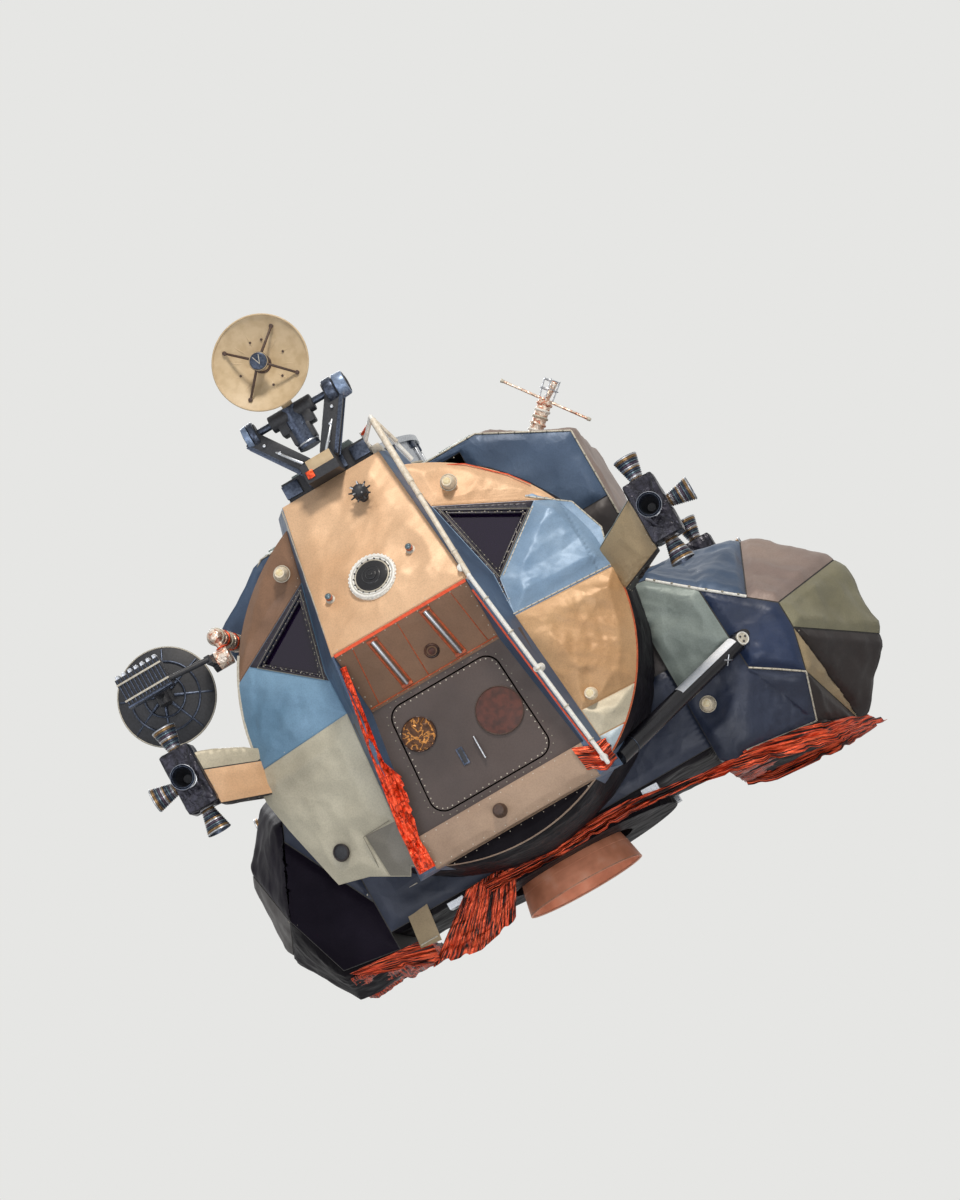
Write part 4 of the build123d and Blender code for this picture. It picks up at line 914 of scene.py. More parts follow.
# %% [markdown]
# The smaller bulge on the left is all in dark finishes. The midsection's big front and rear
# faces are cut into panels, as the real frames under the skin divide them.
# %% Oxidizer bulge and midsection sheets
OX_SEEDS = [
    # x, y, z, finish
    (-1.35, -0.40, 1.20, SLATE),
    (-1.63, -0.35, 0.90, INK),
    (-1.78, -0.23, 0.55, UMBER_PAINTED_SHADE),
    (-1.25, -0.69, 0.60, NAVY),
    (-1.45, -0.69, 0.55, INK),
    (-1.68, -0.40, 0.15, BLACKISH),
    (-1.36, -0.35, -0.08, BLACKISH),
]
dressed("oxidizer_bulge", "oxidizer_shields", lambda c, n: c.x < -1.15, OX_SEEDS, 0.040, 0.27, 22,
        size=0.045, spacing=0.09,
        cuts=[((-1.258, -0.686, 0.503), (0.89, 0, 0.45), lambda c, n: abs(n.y) > 0.97)])


def flat_end(c, n):
    """The midsection's front and rear faces."""
    return abs(n.y) > 0.97 and n.y * c.y > 0


MID_SEEDS = [
    # x, y, z, finish
    (1.25, -0.69, 2.05, SLATE),
    (0.75, -0.69, 2.30, SLATE),
    # painted shade: this panel lies in shade, and is painted dark umber
    (1.20, -0.69, 1.55, UMBER_PAINTED_SHADE),
    (-0.85, -0.69, 2.20, SLATE),
    (-1.05, -0.69, 1.60, TEAL),
    (0.00, -0.69, 0.30, NAVY),
    (-1.14, 0.00, 1.14, SLATE),
    (-0.93, 0.00, 2.37, SLATE),
    (0.00, 0.00, 2.51, SAGE),
    (1.12, 0.00, 2.37, PINK),
    (1.39, 0.00, 1.91, PINK),
    (1.28, 0.00, 1.43, SLATE),
    (1.17, 0.00, 0.66, NAVY),
    (0.12, -0.20, 0.06, BLACKISH),
]


def outside_rooms(c, n):
    """The midsection's outer faces, without the walls of its hollow."""
    return flat_end(c, n) or abs(c.x) > 0.8 or c.z > 2.512 or c.z < 0.07


dressed("midsection", "midsection_shields", outside_rooms, MID_SEEDS, 0.038, 0.33, 23,
        size=0.065, spacing=0.10,
        cuts=[((0.95, 0, 2.18), (0.86, 0, -0.52), flat_end), ((0, 0, 1.75), (0, 0, 1), flat_end),
              ((0, 0, 0.62), (0, 0, 1), flat_end), ((0, 0, 0), (1, 0, 0), flat_end)])

# %% Outriggers, rear bay and rack
ARM_SEEDS = [
    # x, y, z, finish
    (1.33, -1.56, 1.23, KHAKI),
    (1.35, -1.49, 1.42, SAGE),
    (1.38, -1.50, 1.11, UMBER_PAINTED_SHADE),
    (1.29, -1.31, 1.24, NAVY),
    (-1.35, -1.58, 1.20, TAN),
    (-1.33, -1.55, 1.40, PALE_SAGE),
    (-1.35, -1.49, 1.42, PALE_SAGE),
    (-1.34, -1.48, 1.10, UMBER_PAINTED_SHADE),
    (-1.29, -1.31, 1.24, NAVY),
]
AFT_SEEDS = [
    (0, 1.08, 2.15, SAGE),
    (0.9, -1.08, 1.6, SLATE),
    (0.9, -1.08, 0.6, STONE),
    (-0.9, -1.08, 1.6, SLATE),
    (-0.9, -1.08, 0.6, STONE),
    (0, -1.48, 1.9, SLATE),
    (0, -1.48, 0.3, BLACKISH),
    (0, -1.08, 0.15, BLACKISH),
]
RACK_SEEDS = [
    (0.4, -1.88, 1.5, TEAL),
    (-0.4, -1.88, 1.5, SILVER),
    (0.4, -1.88, 0.8, SILVER),
    (-0.4, -1.88, 0.8, TEAL),
    (0.74, -1.7, 1.2, TEAL),
    (-0.74, -1.7, 1.2, TEAL),
    (0, -1.68, 1.9, SILVER),
    (0, -1.68, 0.42, BLACKISH),
]


def rear(c, n):
    """A facet that faces backwards."""
    return n.y > 0.5


dressed("outriggers_front", "outrigger_sheets_front", lambda c, n: abs(n.x) < 0.9, ARM_SEEDS, 0.022, 0.24, 24,
        size=0.032, cuts=[((-1.53, -1.6, 1.385), (0.31, 0, 0.95), lambda c, n: c.x < 0 and n.y < -0.8)])
dressed("outriggers_rear", "outrigger_sheets_rear", lambda c, n: abs(n.x) < 0.95, KHAKI, 0.014, 0.3, 25,
        size=0.05)
dressed("aft_bay", "aft_bay_sheets", lambda c, n: n.y > -0.5, AFT_SEEDS, 0.022, 0.45, 26,
        size=0.07,
        cuts=[((0, 0, 1.15), (0, 0, 1), lambda c, n: abs(n.z) < 0.5), ((0, 0, 0), (1, 0, 0), rear)])
dressed("equipment_rack", "rack_sheets", lambda c, n: n.y > -0.5, RACK_SEEDS, 0.014, 0.4, 27,
        size=0.07, cuts=[((0, 0, 1.16), (0, 0, 1), rear), ((0, 0, 0), (1, 0, 0), rear)])

# %% [markdown]
# ## Loose foil blankets
# Where blankets end, they hang loose in long wrinkles with ragged edges. A blanket starts as a
# flat grid. Its two long edges are laid along two lines on the stage, and the folds run along it.
# %% Blankets
def along(line, share):
    """The place at a share of the way along a line of points."""
    points = [Vector(p) for p in line]
    lengths = [(b - a).length for a, b in zip(points, points[1:])]
    left = share * sum(lengths)
    for a, b, length in zip(points, points[1:], lengths):
        if left <= length or b is points[-1]:
            return a.lerp(b, min(1, left / length))
        left -= length
    return points[-1]


def blanket(name, top, low, finish=LONG_FOIL, across=150, down=24, depth=0.03, seed=1, ragged=0.3,
            wrinkle=(0.9, 0.040)):
    """Crumpled foil between two edge lines. The wrinkle is its length and width in metres."""
    obj = start_with(bpy.ops.mesh.primitive_grid_add, x_subdivisions=across, y_subdivisions=down, size=2)
    wide = (Vector(top[-1]) - Vector(top[0])).length
    waves = folds(seed, 1.0)
    flat = []
    places = []
    for vertex in obj.data.vertices:
        u, w = (vertex.co.x + 1) / 2, (vertex.co.y + 1) / 2
        torn = ragged * (1 - w) * noise.noise(Vector((u * wide / 0.07, seed, 0)))
        a, b = along(low, u), along(top, u)
        places.append(a.lerp(b, min(1, w + max(0, torn) * (1 - w))))
        flat.append((u * wide, w * (b - a).length))
    for vertex, place in zip(obj.data.vertices, places):
        vertex.co = place
    obj.data.update()
    chart = obj.data.uv_layers.active.data
    for loop in obj.data.loops:
        x, y = flat[loop.vertex_index]
        chart[loop.index].uv = (x, y) if wrinkle[0] > wrinkle[1] else (y, x)
    moved = []
    for vertex, (x, y) in zip(obj.data.vertices, flat):
        height = fold_height(Vector((x / wrinkle[0], y / wrinkle[1], 0)), waves) - 0.5
        height += 0.25 * noise.noise(Vector((x / 0.12, y / 0.03, 3)))
        moved.append(vertex.co + vertex.normal * depth * height)
    for vertex, place in zip(obj.data.vertices, moved):
        vertex.co = place
    modify(obj, "SOLIDIFY", thickness=FOIL_THICK, offset=0.0)
    obj.name = name
    obj.data.name = name
    paint(obj, finish)
    return smooth_and_ride(obj, 40, "stage")


print("half way along a line", along([(0, 0, 0), (1, 0, 0), (1, 0, 2)], 0.5))

# %% Blankets under the fuel bulge
blanket("fuel_foil_front",
        [(1.05, -0.71, -0.06), (1.34, -0.75, -0.07), (1.80, -0.55, -0.12), (2.04, -0.1, -0.18)],
        [(0.98, -0.71, -0.10), (1.34, -0.73, -0.18), (1.86, -0.57, -0.30), (2.18, -0.14, -0.28)],
        depth=0.05, seed=41)
blanket("fuel_foil_under",
        [(1.17, -0.60, -0.10), (1.80, -0.45, -0.16), (2.02, 0.0, -0.21)],
        [(1.17, 0.60, -0.10), (1.80, 0.45, -0.16), (2.02, 0.0, -0.21)],
        depth=0.04, across=110, down=60, seed=42, wrinkle=(0.9, 0.10))
blanket("fuel_foil_rear",
        [(2.04, 0.1, -0.18), (1.80, 0.55, -0.12), (1.34, 0.75, -0.07), (1.17, 0.72, -0.04)],
        [(2.14, 0.12, -0.26), (1.84, 0.57, -0.24), (1.34, 0.75, -0.18), (1.17, 0.72, -0.12)],
        across=90, down=16, depth=0.04, seed=48)

# %% Blankets under the small bulge and along the skirt
blanket("ox_foil_inner",
        [(-0.60, -0.70, 0.05), (-0.42, -0.71, 0.06), (-0.24, -0.71, 0.05)],
        [(-1.02, -0.68, -0.26), (-0.70, -0.71, -0.32), (-0.42, -0.70, -0.26)],
        across=90, down=30, depth=0.05, seed=43, wrinkle=(0.05, 0.6))
blanket("ox_foil_under",
        [(-1.52, -0.60, -0.06), (-1.15, -0.67, -0.10), (-0.95, -0.67, -0.10)],
        [(-1.58, 0.20, -0.14), (-1.15, 0.30, -0.16), (-0.95, 0.30, -0.14)],
        across=50, down=60, depth=0.05, seed=44, wrinkle=(0.10, 0.6))
blanket("ox_foil_front",
        [(-1.50, -0.69, -0.03), (-1.20, -0.70, -0.06), (-0.95, -0.70, -0.08)],
        [(-1.42, -0.70, -0.10), (-1.20, -0.70, -0.17), (-0.95, -0.70, -0.26)],
        across=60, down=12, depth=0.03, seed=49, wrinkle=(0.5, 0.04))
blanket("skirt_foil",
        [(-0.50, -0.72, 0.03), (0.0, -0.73, 0.04), (0.55, -0.73, 0.03), (1.05, -0.71, -0.06)],
        [(-0.46, -0.73, -0.04), (0.0, -0.75, -0.07), (0.55, -0.74, -0.06), (1.05, -0.72, -0.10)],
        across=120, down=10, depth=0.025, seed=45, wrinkle=(0.6, 0.03))

# %% Foil beside the hatch recess
blanket("recess_foil_left",
        [(-0.462, -2.022, 1.44), (-0.570, -1.945, 0.90), (-0.640, -1.925, 0.45), (-0.668, -1.900, 0.14)],
        [(-0.425, -2.012, 1.44), (-0.510, -1.945, 0.90), (-0.558, -1.925, 0.45), (-0.556, -1.905, 0.14)],
        CRUMPLED_FOIL, across=170, down=14, depth=0.050, seed=46, ragged=0.12, wrinkle=(0.24, 0.022))
blanket("recess_wisp_left",
        [(-0.53, -1.93, 0.86), (-0.575, -1.91, 0.60), (-0.60, -1.90, 0.36)],
        [(-0.47, -1.92, 0.70), (-0.515, -1.91, 0.50), (-0.56, -1.90, 0.34)],
        CRUMPLED_FOIL, across=60, down=12, depth=0.045, seed=50, ragged=0.5, wrinkle=(0.2, 0.03))
blanket("foot_foil_right",
        [(0.50, -1.90, 0.34), (0.60, -1.90, 0.30), (0.70, -1.84, 0.30)],
        [(0.52, -1.88, 0.18), (0.62, -1.88, 0.12), (0.70, -1.80, 0.16)],
        across=30, down=20, depth=0.05, seed=47, wrinkle=(0.25, 0.05))

# %% [markdown]
# ## Hatch, its frame and the wall above
# The crew's hatch is a flat door with round corners. A row of bright heads runs round it on the
# door and another on the frame. It carries two round vents under foil and a slot for the handle.
# The vents ride with the door.
# %% Hatch outline and heads
HATCH_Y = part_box("forward_hatch")[0].y
HATCH_TOP, HATCH_LOW = 1.107, 0.391
HATCH_TOP_HALF, HATCH_LOW_HALF = 0.369, 0.418
HATCH_CORNER = 0.10


def hatch_line(offset, spacing):
    """Places along the hatch's outline, moved outwards by an offset."""
    corners = [(-HATCH_TOP_HALF - offset, HATCH_TOP + offset), (HATCH_TOP_HALF + offset, HATCH_TOP + offset),
               (HATCH_LOW_HALF + offset, HATCH_LOW - offset), (-HATCH_LOW_HALF - offset, HATCH_LOW - offset)]
    corners = [Vector((x, HATCH_Y, z)) for x, z in corners]
    round_off = HATCH_CORNER + offset
    places = []
    for before, corner, after in zip(corners[-1:] + corners[:-1], corners, corners[1:] + corners[:1]):
        into, away = (before - corner).normalized(), (after - corner).normalized()
        centre = corner + (into + away) * round_off
        for k in (0.5, 1.5, 2.5, 3.5):
            places.append(centre + ((-away).lerp(-into, k / 4)).normalized() * round_off)
        places += spaced(corner + away * round_off, after - away * round_off, spacing)
    return places


heads("hatch_heads", [(p, FACE_OUT) for p in hatch_line(-0.020, 0.042)], 0.0048, TAPE, "forward_hatch")
heads("hatch_frame_heads", [(p, FACE_OUT) for p in hatch_line(0.022, 0.06)], 0.0042, STONE)
print("hatch heads", len(hatch_line(-0.020, 0.042)))

# %% Vents, slot and handle on the hatch
def disc(centre, radius, thick, finish, rim):
    """A round cover on the hatch, with a rim round it."""
    obj = bar(centre, Vector(centre) + FACE_OUT * thick, radius, finish, sides=48)
    edge = ring(Vector(centre) + FACE_OUT * thick, FACE_OUT, radius, thick * 0.45, rim, sides=48)
    return [obj, edge]


parts = disc((-0.262, HATCH_Y, 0.885), 0.105, 0.008, GOLD_FOIL, BRONZE_FOIL)
parts += disc((0.232, HATCH_Y, 0.765), 0.146, 0.008, COPPER, DARK_BROWN)
parts.append(slab((-0.096, HATCH_Y - 0.003, 0.637), (0.042, 0.008, 0.112), STEEL))
parts.append(slab((-0.096, HATCH_Y - 0.006, 0.637), (0.026, 0.008, 0.090), BLACK))
for z in (0.700, 0.560):
    parts.append(bar((0.02, HATCH_Y, z), (0.02, HATCH_Y - 0.022, z), 0.006, METAL))
parts.append(bar((0.02, HATCH_Y - 0.022, 0.705), (0.02, HATCH_Y - 0.022, 0.555), 0.006, METAL))
join("hatch_vents_and_handle", parts, "forward_hatch")

# %% [markdown]
# Above the hatch the wall leans forward under the nose. Two pipes run up it, each between two
# lines of orange tape, with a small ring near the middle and seams in the same tape.
# %% Pipes on the leaning wall
SOFFIT_OUT = Vector((0, -0.892, -0.452))
SOFFIT_HIGH = Vector((0, -2.018, 1.515))
SOFFIT_LOW = Vector((0, -1.835, 1.152))


def on_soffit(x, share, lift=0.004):
    """A place on the leaning wall: its x, and its share of the way down."""
    return SOFFIT_HIGH.lerp(SOFFIT_LOW, share) + Vector((x, 0, 0)) + SOFFIT_OUT * lift


parts = []
for x_high, x_low in ((-0.215, -0.170), (0.150, 0.205)):
    parts.append(bar(on_soffit(x_high, 0.06, 0.016), on_soffit(x_low, 0.90, 0.016), 0.013, METAL))
    for aside in (-0.028, 0.028):
        parts.append(bar(on_soffit(x_high + aside, 0.04), on_soffit(x_low + aside, 0.93), 0.008, RUST_TAPE))
    for share in (0.06, 0.92):
        middle = on_soffit(x_high + (x_low - x_high) * share, share, 0.006)
        parts.append(slab(middle, (0.072, 0.02, 0.020), RUST_TAPE))
parts.append(ring(on_soffit(0.06, 0.66), SOFFIT_OUT, 0.040, 0.008, BRONZE_FOIL))
parts.append(bar(on_soffit(0.06, 0.66), on_soffit(0.06, 0.66, 0.020), 0.022, COPPER))
for x in (-0.34, -0.03, 0.34):
    parts.append(bar(on_soffit(x, 0.03), on_soffit(x * 1.12, 0.97), 0.0035, RUST_TAPE, sides=8))
parts.append(bar(on_soffit(-0.44, 0.97), on_soffit(0.44, 0.97), 0.005, RUST_TAPE, sides=8))
join("soffit_pipes", parts)

# %% [markdown]
# Tape closes the lip and the long edges of the nose, and the ridges. It isn't a line but a narrow
# strip, folded over the edge and a little uneven.
# %% Edge tape
NOSE_OUT = Vector((0, -0.8986, 0.4388))
LIP_HALF = 0.457


def tape(name, line, width, finish, out, seed):
    """A slightly crumpled strip of tape along a line of points, facing out."""
    out = Vector(out).normalized()
    points = [Vector(p) for p in line]
    sideways = (points[-1] - points[0]).cross(out).normalized() * width / 2
    steps = max(12, round((points[-1] - points[0]).length / 0.012))
    blanket(name, [p + sideways + out * 0.006 for p in points], [p - sideways + out * 0.006 for p in points],
            finish, across=steps, down=3, depth=0.008, seed=seed, ragged=0.2, wrinkle=(0.2, 0.05))


tape("lip_tape", [(-LIP_HALF, -2.030, 1.520), (LIP_HALF, -2.030, 1.520)], 0.020, ORANGE, (0, -1, 0), 51)
tape("ridge_tape_right", [(0.466, -2.020, 1.45), (0.575, -1.905, 0.55), (0.620, -1.875, 0.22)], 0.012,
     ORANGE, (-0.3, -0.95, 0), 52)
tape("nose_tape_left", [(-0.462, -2.020, 1.54), (-0.352, -1.535, 2.54)], 0.010, TAPE, (-0.7, -0.7, 0.3), 54)
tape("brow_tape_right",
     [(0.50, -1.44, 2.38), (0.75, -1.40, 2.245), (0.95, -1.38, 2.055), (1.04, -1.39, 1.93)],
     0.009, ORANGE, (0.5, -0.6, 0.6), 55)

# %% [markdown]
# A line of tape follows the round edge of each cheek, where it meets the drum: orange on the low
# right, and pale on the left. Its places come from the circle of the drum and the cheeks' planes.
# %% Rim of the cheeks
CHEEK_PLANES = [
    # lowest z, highest z, point on the plane, normal
    (0.20, 1.227, Vector((1.01, -1.59, 0.74)), Vector((0.37, -0.93, 0.02))),
    (1.227, 2.00, Vector((0.98, -1.51, 1.55)), Vector((0.36, -0.90, 0.24))),
]


def cheek_rim(low_angle, high_angle):
    """Places on the right cheek's round edge, from one angle above level to another."""
    places = []
    for k in range(25):
        angle = math.radians(low_angle + (high_angle - low_angle) * k / 24)
        x, z = DRUM_R * math.cos(angle), DRUM_AXIS_Z + DRUM_R * math.sin(angle)
        point, normal = [row[2:] for row in CHEEK_PLANES if row[0] <= z <= row[1]][0]
        y = point.y - (normal.x * (x - point.x) + normal.z * (z - point.z)) / normal.y
        places.append(Vector((x, y, z)))
    return places


def off_drum(place, outwards, forwards):
    """A place moved away from the drum's axis, and forwards."""
    return place + (Vector((place.x, 0, place.z)) - DRUM_CENTRE).normalized() * outwards + FACE_OUT * forwards


def rim_tape(name, side, low_angle, high_angle, finish):
    """Tape along the round edge of one cheek, between two angles above level."""
    points = [Vector((side * p.x, p.y, p.z)) for p in cheek_rim(low_angle, high_angle)]
    outer = [off_drum(p, 0.006, 0.004) for p in points]
    inner = [off_drum(p, -0.010, 0.009) for p in points]
    blanket(name, outer, inner, finish, across=90, down=3, depth=0.005, seed=56, ragged=0.2,
            wrinkle=(0.2, 0.05))


rim_tape("cheek_rim_tape_right", 1, -56, -1, RUST_TAPE)
rim_tape("cheek_rim_tape_left", -1, -1, 33, TAPE)

# %% [markdown]
# ## Windows
# Each triangular pane sits in a dark frame, one bar on its edge and one a little inside it. A row
# of heads holds the inner bar, and a thin pale line closes the outer edge.
# %% Window frames
LOW_OUT, CHEEK_OUT = CHEEK_PLANES[0][3], CHEEK_PLANES[1][3]
WINDOW_CORNERS = [(0.500, 2.040), (0.955, 1.795), (0.620, 1.500)]


def facing(side, out):
    """The outward direction of a cheek's plane, on one side of the cabin."""
    return Vector((side * out.x, out.y, out.z)).normalized()


def on_cheek(side, x, z, lift=0.0, row=1):
    """A place on the plane of a cheek of one side: the upper one, or row 0 for the lower."""
    point, out = CHEEK_PLANES[row][2:]
    y = point.y - (out.x * (x - point.x) + out.z * (z - point.z)) / out.y
    place = Vector((x, y, z)) + out.normalized() * lift
    return Vector((side * place.x, place.y, place.z))


for side, word in ((1, "right"), (-1, "left")):
    parts = []
    dots = []
    middle = sum((on_cheek(side, x, z) for x, z in WINDOW_CORNERS), Vector()) / 3
    corners = [on_cheek(side, x, z, 0.006) for x, z in WINDOW_CORNERS]
    out = facing(side, CHEEK_OUT)
    for a, b in zip(corners, corners[1:] + corners[:1]):
        parts.append(bar(a, b, 0.006, FRAME_BLACK, sides=8))
        inner_a, inner_b = a.lerp(middle, 0.10), b.lerp(middle, 0.10)
        parts.append(bar(inner_a - out * 0.008, inner_b - out * 0.008, 0.008, FRAME_BLACK, sides=8))
        outer_a, outer_b = a.lerp(middle, -0.045), b.lerp(middle, -0.045)
        parts.append(bar(outer_a, outer_b, 0.003, STONE, sides=6))
        dots += [(spot + out * -0.002, out) for spot in spaced(inner_a, inner_b, 0.040)]
    join("window_frame_" + word, parts)
    heads("window_heads_" + word, dots, 0.0045, STONE)

# %% [markdown]
# ## Pale edges
# A few edges of the skin are closed with pale strips and rows of close dots: round the bright
# cheek, along the shoulders, on the crest and keel of the fuel bulge, and down the smaller bulge.
# %% Edge strips
def strips(name, lines, radius, finish, spacing):
    """Thin round strips along lines of points, with dots on them."""
    pieces = []
    dots = []
    for line, out in lines:
        points = [Vector(p) for p in line]
        out = Vector(out).normalized()
        for a, b in zip(points, points[1:]):
            pieces.append(bar(a, b, radius, finish, sides=8))
            dots += [(spot + out * radius * 0.8, out) for spot in spaced(a, b, spacing)]
    join(name, pieces)
    heads(name + "_dots", dots, radius * 0.9, STONE)


# The bright cheek reaches past the drum's rim, so a narrow apron of sheet fills the space to it.
APRON = [on_cheek(1, x, z, 0.008)
         for x, z in ((0.975, 1.880), (1.205, 1.712), (1.286, 1.480), (1.234, 1.262))]
blanket("cheek_apron", APRON, [off_drum(p, -0.022, 0.008) for p in cheek_rim(33, 1)], SILVER, across=70,
        down=8, depth=0.010, seed=57, ragged=0.0, wrinkle=(0.20, 0.06))
strips("cheek_edge_strip",
       [([on_cheek(1, 0.640, 1.485, 0.004), on_cheek(1, 0.990, 1.800, 0.004)], CHEEK_OUT),
        ([on_cheek(1, 0.470, 1.238, 0.004), on_cheek(1, 1.235, 1.238, 0.004)], CHEEK_OUT),
        (APRON, CHEEK_OUT)], 0.005, TAPE, 0.045)
# The front edge of the shoulders, from the middle of the roof down each side: across and up.
SHOULDERS = [[(0.30, 2.514), (0.851, 2.514), (1.387, 2.222), (1.387, 1.620)],
             [(-0.30, 2.514), (-0.711, 2.514), (-1.143, 2.222), (-1.143, 1.650)]]
strips("shoulder_strip", [([(x, -0.692, z) for x, z in line], FACE_OUT) for line in SHOULDERS],
       0.006, TAPE, 0.11)
strips("low_cheek_strip",
       [([on_cheek(-1, 0.865, 0.535, 0.030, 0), on_cheek(-1, 0.680, 0.535, 0.020, 0)], FACE_OUT),
        ([on_cheek(-1, 0.868, 0.535, 0.030, 0), on_cheek(-1, 0.885, 0.330, 0.012, 0)], FACE_OUT)],
       0.0025, STONE, 0.2)
strips("bulge_edge_strip",
       [([(1.33, -0.742, 1.163), (1.585, -0.792, 0.940), (1.82, -0.762, 0.752)], (0.3, -0.8, 0.5))],
       0.010, WHITE, 0.11)
strips("bulge_keel_strip",
       [([(1.345, -0.745, -0.072), (1.803, -0.515, -0.110)], (0, -0.9, -0.4)),
        ([(1.905, -0.706, 0.168), (1.803, -0.515, -0.110)], (0.5, -0.8, 0)),
        ([(1.613, -0.812, 0.356), (1.76, -0.790, 0.262), (1.905, -0.716, 0.168)], FACE_OUT)],
       0.006, TAPE, 0.06)
strips("small_bulge_strip", [([(-1.258, -0.692, 0.503), (-1.496, -0.692, 0.029)], FACE_OUT)],
       0.004, TAPE, 0.04)

# %% [markdown]
# The low left cheek has a dark round port, and a folded strip of sheet comes down beside the
# small bulge.
# %% Port and folded strip
port_out = facing(-1, LOW_OUT)
port = on_cheek(-1, -PORT_PLACE[0], PORT_PLACE[1], row=0)
parts = [bar(port, port + port_out * 0.034, 0.052, BLACK, 0.048, 32),
         ring(port + port_out * 0.034, port_out, 0.050, 0.006, UMBER_PAINTED_SHADE, 40)]
for x, z in ((-0.905, 0.245), (-0.955, -0.105)):
    parts.append(bar((x - 0.06, -0.706, z), (x + 0.06, -0.706, z), 0.005, TAPE, sides=8))
strip_lean = Matrix.Rotation(math.radians(7), 3, "Y")
parts.append(slab((-0.932, -0.700, 0.068), (0.140, 0.012, 0.400), KHAKI, strip_lean))
join("port_and_folded_strip", parts)

# %% [markdown]
# ## Tracking light, knob antenna and studs on the nose
# The tracking light is a white ring with deep flutes round a dark glass dome. The flutes are
# modelled by drawing every second wall face of a ring outwards.
# %% Tracking light
light_low, light_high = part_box("tracking_light")
LIGHT_CENTRE = Vector(((light_low.x + light_high.x) / 2, -1.894, 1.831))
LIGHT_R = (light_high.x - light_low.x) / 2
LIGHT_DEEP = 0.036
UP_NOSE = NOSE_OUT.cross(ACROSS)


def second_wall(c, n):
    """Every second of the 72 wall faces, which are 5 degrees apart."""
    return int(round(math.degrees(math.atan2(c.y, c.x)) / 5 - 0.5)) % 2 == 0


flutes = start_with(bpy.ops.mesh.primitive_cylinder_add, vertices=72, radius=LIGHT_R - 0.006,
                    depth=LIGHT_DEEP, end_fill_type="NOTHING")
select_faces(flutes, second_wall)
bpy.ops.mesh.extrude_faces_move(TRANSFORM_OT_shrink_fatten={"value": 0.010})
done()
flutes.matrix_world = Matrix.Translation(LIGHT_CENTRE + NOSE_OUT * 0.018) @ aim((0, 0, 0), NOSE_OUT)
settle(flutes)
modify(flutes, "SOLIDIFY", thickness=0.008)
paint(flutes, WHITE)
light_face = LIGHT_CENTRE + NOSE_OUT * LIGHT_DEEP
parts = [flutes, ring(light_face, NOSE_OUT, LIGHT_R - 0.012, 0.010, WHITE, 72),
         ring(light_face, NOSE_OUT, LIGHT_R - 0.046, 0.007, TAPE, 72),
         ring(light_face + NOSE_OUT * 0.003, NOSE_OUT, LIGHT_R - 0.030, 0.005, WHITE, 72),
         bar(light_face - NOSE_OUT * 0.004, light_face + NOSE_OUT * 0.014, 0.108, DOME_GLASS, 0.100, 40)]
for radius, lift in ((0.092, 0.013), (0.068, 0.020), (0.044, 0.025), (0.020, 0.028)):
    parts.append(bar(light_face + NOSE_OUT * 0.010, light_face + NOSE_OUT * lift, radius, DOME_GLASS,
                     radius - 0.014, 40))
    parts.append(ring(light_face + NOSE_OUT * (lift - 0.002), NOSE_OUT, radius - 0.010, 0.002, BLACK, 40))
for turn in range(0, 360, 20):
    way = around(math.radians(turn), ACROSS, UP_NOSE) * 0.118
    parts.append(bar(light_face + way, light_face + way + NOSE_OUT * 0.008, 0.006, BLACK, sides=8))
join("tracking_light_ring", parts)

# %% Knob antenna, studs and small sensors on the nose
def on_nose(x, z, lift=0.0):
    """A place on the nose by its x and z."""
    return Vector((x, -2.032 + (z - 1.524) * (0.508 / 1.041), z)) + NOSE_OUT * lift


knob_low, knob_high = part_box("forward_antenna")
KNOB = Vector(((knob_low.x + knob_high.x) / 2, -1.742, 2.365))
parts = [ring(KNOB - NOSE_OUT * 0.03, NOSE_OUT, 0.040, 0.007, BLACK, 24)]
for k in range(9):
    way = around(k * NINTH, ACROSS, UP_NOSE) * 0.074
    parts.append(bar(KNOB - NOSE_OUT * 0.01, KNOB + way + NOSE_OUT * 0.004, 0.010, BLACK, 0.005, 8))
for k in range(5):
    way = around(k * FIFTH, ACROSS, UP_NOSE) * 0.050
    parts.append(bar(KNOB, KNOB + way + NOSE_OUT * 0.050, 0.009, METAL, 0.004, 8))
join("knob_antenna_spokes", parts)
parts = []
for x, z in STUD_PLACES:
    foot = on_nose(x, z)
    parts.append(bar(foot, foot + NOSE_OUT * 0.010, 0.030, TAPE))
    parts.append(bar(foot + NOSE_OUT * 0.010, foot + NOSE_OUT * 0.050, 0.018, METAL, 0.014))
    parts.append(bar(foot + NOSE_OUT * 0.024, foot + NOSE_OUT * 0.034, 0.022, RUST_TAPE))
    parts.append(bar(foot + NOSE_OUT * 0.050, foot + NOSE_OUT * 0.062, 0.022, BLUE_TINT, 0.010))
for x, z in ((0.30, 2.13), (-0.30, 2.30), (0.22, 1.66)):
    foot = on_nose(x, z)
    parts.append(bar(foot, foot + NOSE_OUT * 0.010, 0.012, METAL))
join("nose_studs", parts)

# %% [markdown]
# ## Docking lamps
# Five small lamps in plain cream cones guide a docking. Each stands on a ring of tape and ends
# in a straw-coloured glass. The one on the sill has a dark brown cover over its cone.
# %% Lamps
parts = []
for x, y, z in LAMP_PLACES:
    seat = Vector((x, y, z))
    parts.append(ring(seat + FACE_OUT * 0.003, FACE_OUT, 0.050, 0.004, RUST_TAPE if z == 0.590 else TAPE, 24))
    parts.append(bar(seat, seat + FACE_OUT * 0.084, 0.046, LAMP_CREAM, 0.031, 32))
    parts.append(ring(seat + FACE_OUT * 0.083, FACE_OUT, 0.029, 0.003, LAMP_CREAM, 24))
    parts.append(bar(seat + FACE_OUT * 0.082, seat + FACE_OUT * 0.087, 0.024, AMBER, 0.018, 24))
sill_lamp = Vector(LAMP_PLACES[4])
parts.append(bar(sill_lamp, sill_lamp + FACE_OUT * 0.090, 0.050, DARK_BROWN, 0.033, 32))
join("docking_lamp_seats", parts)

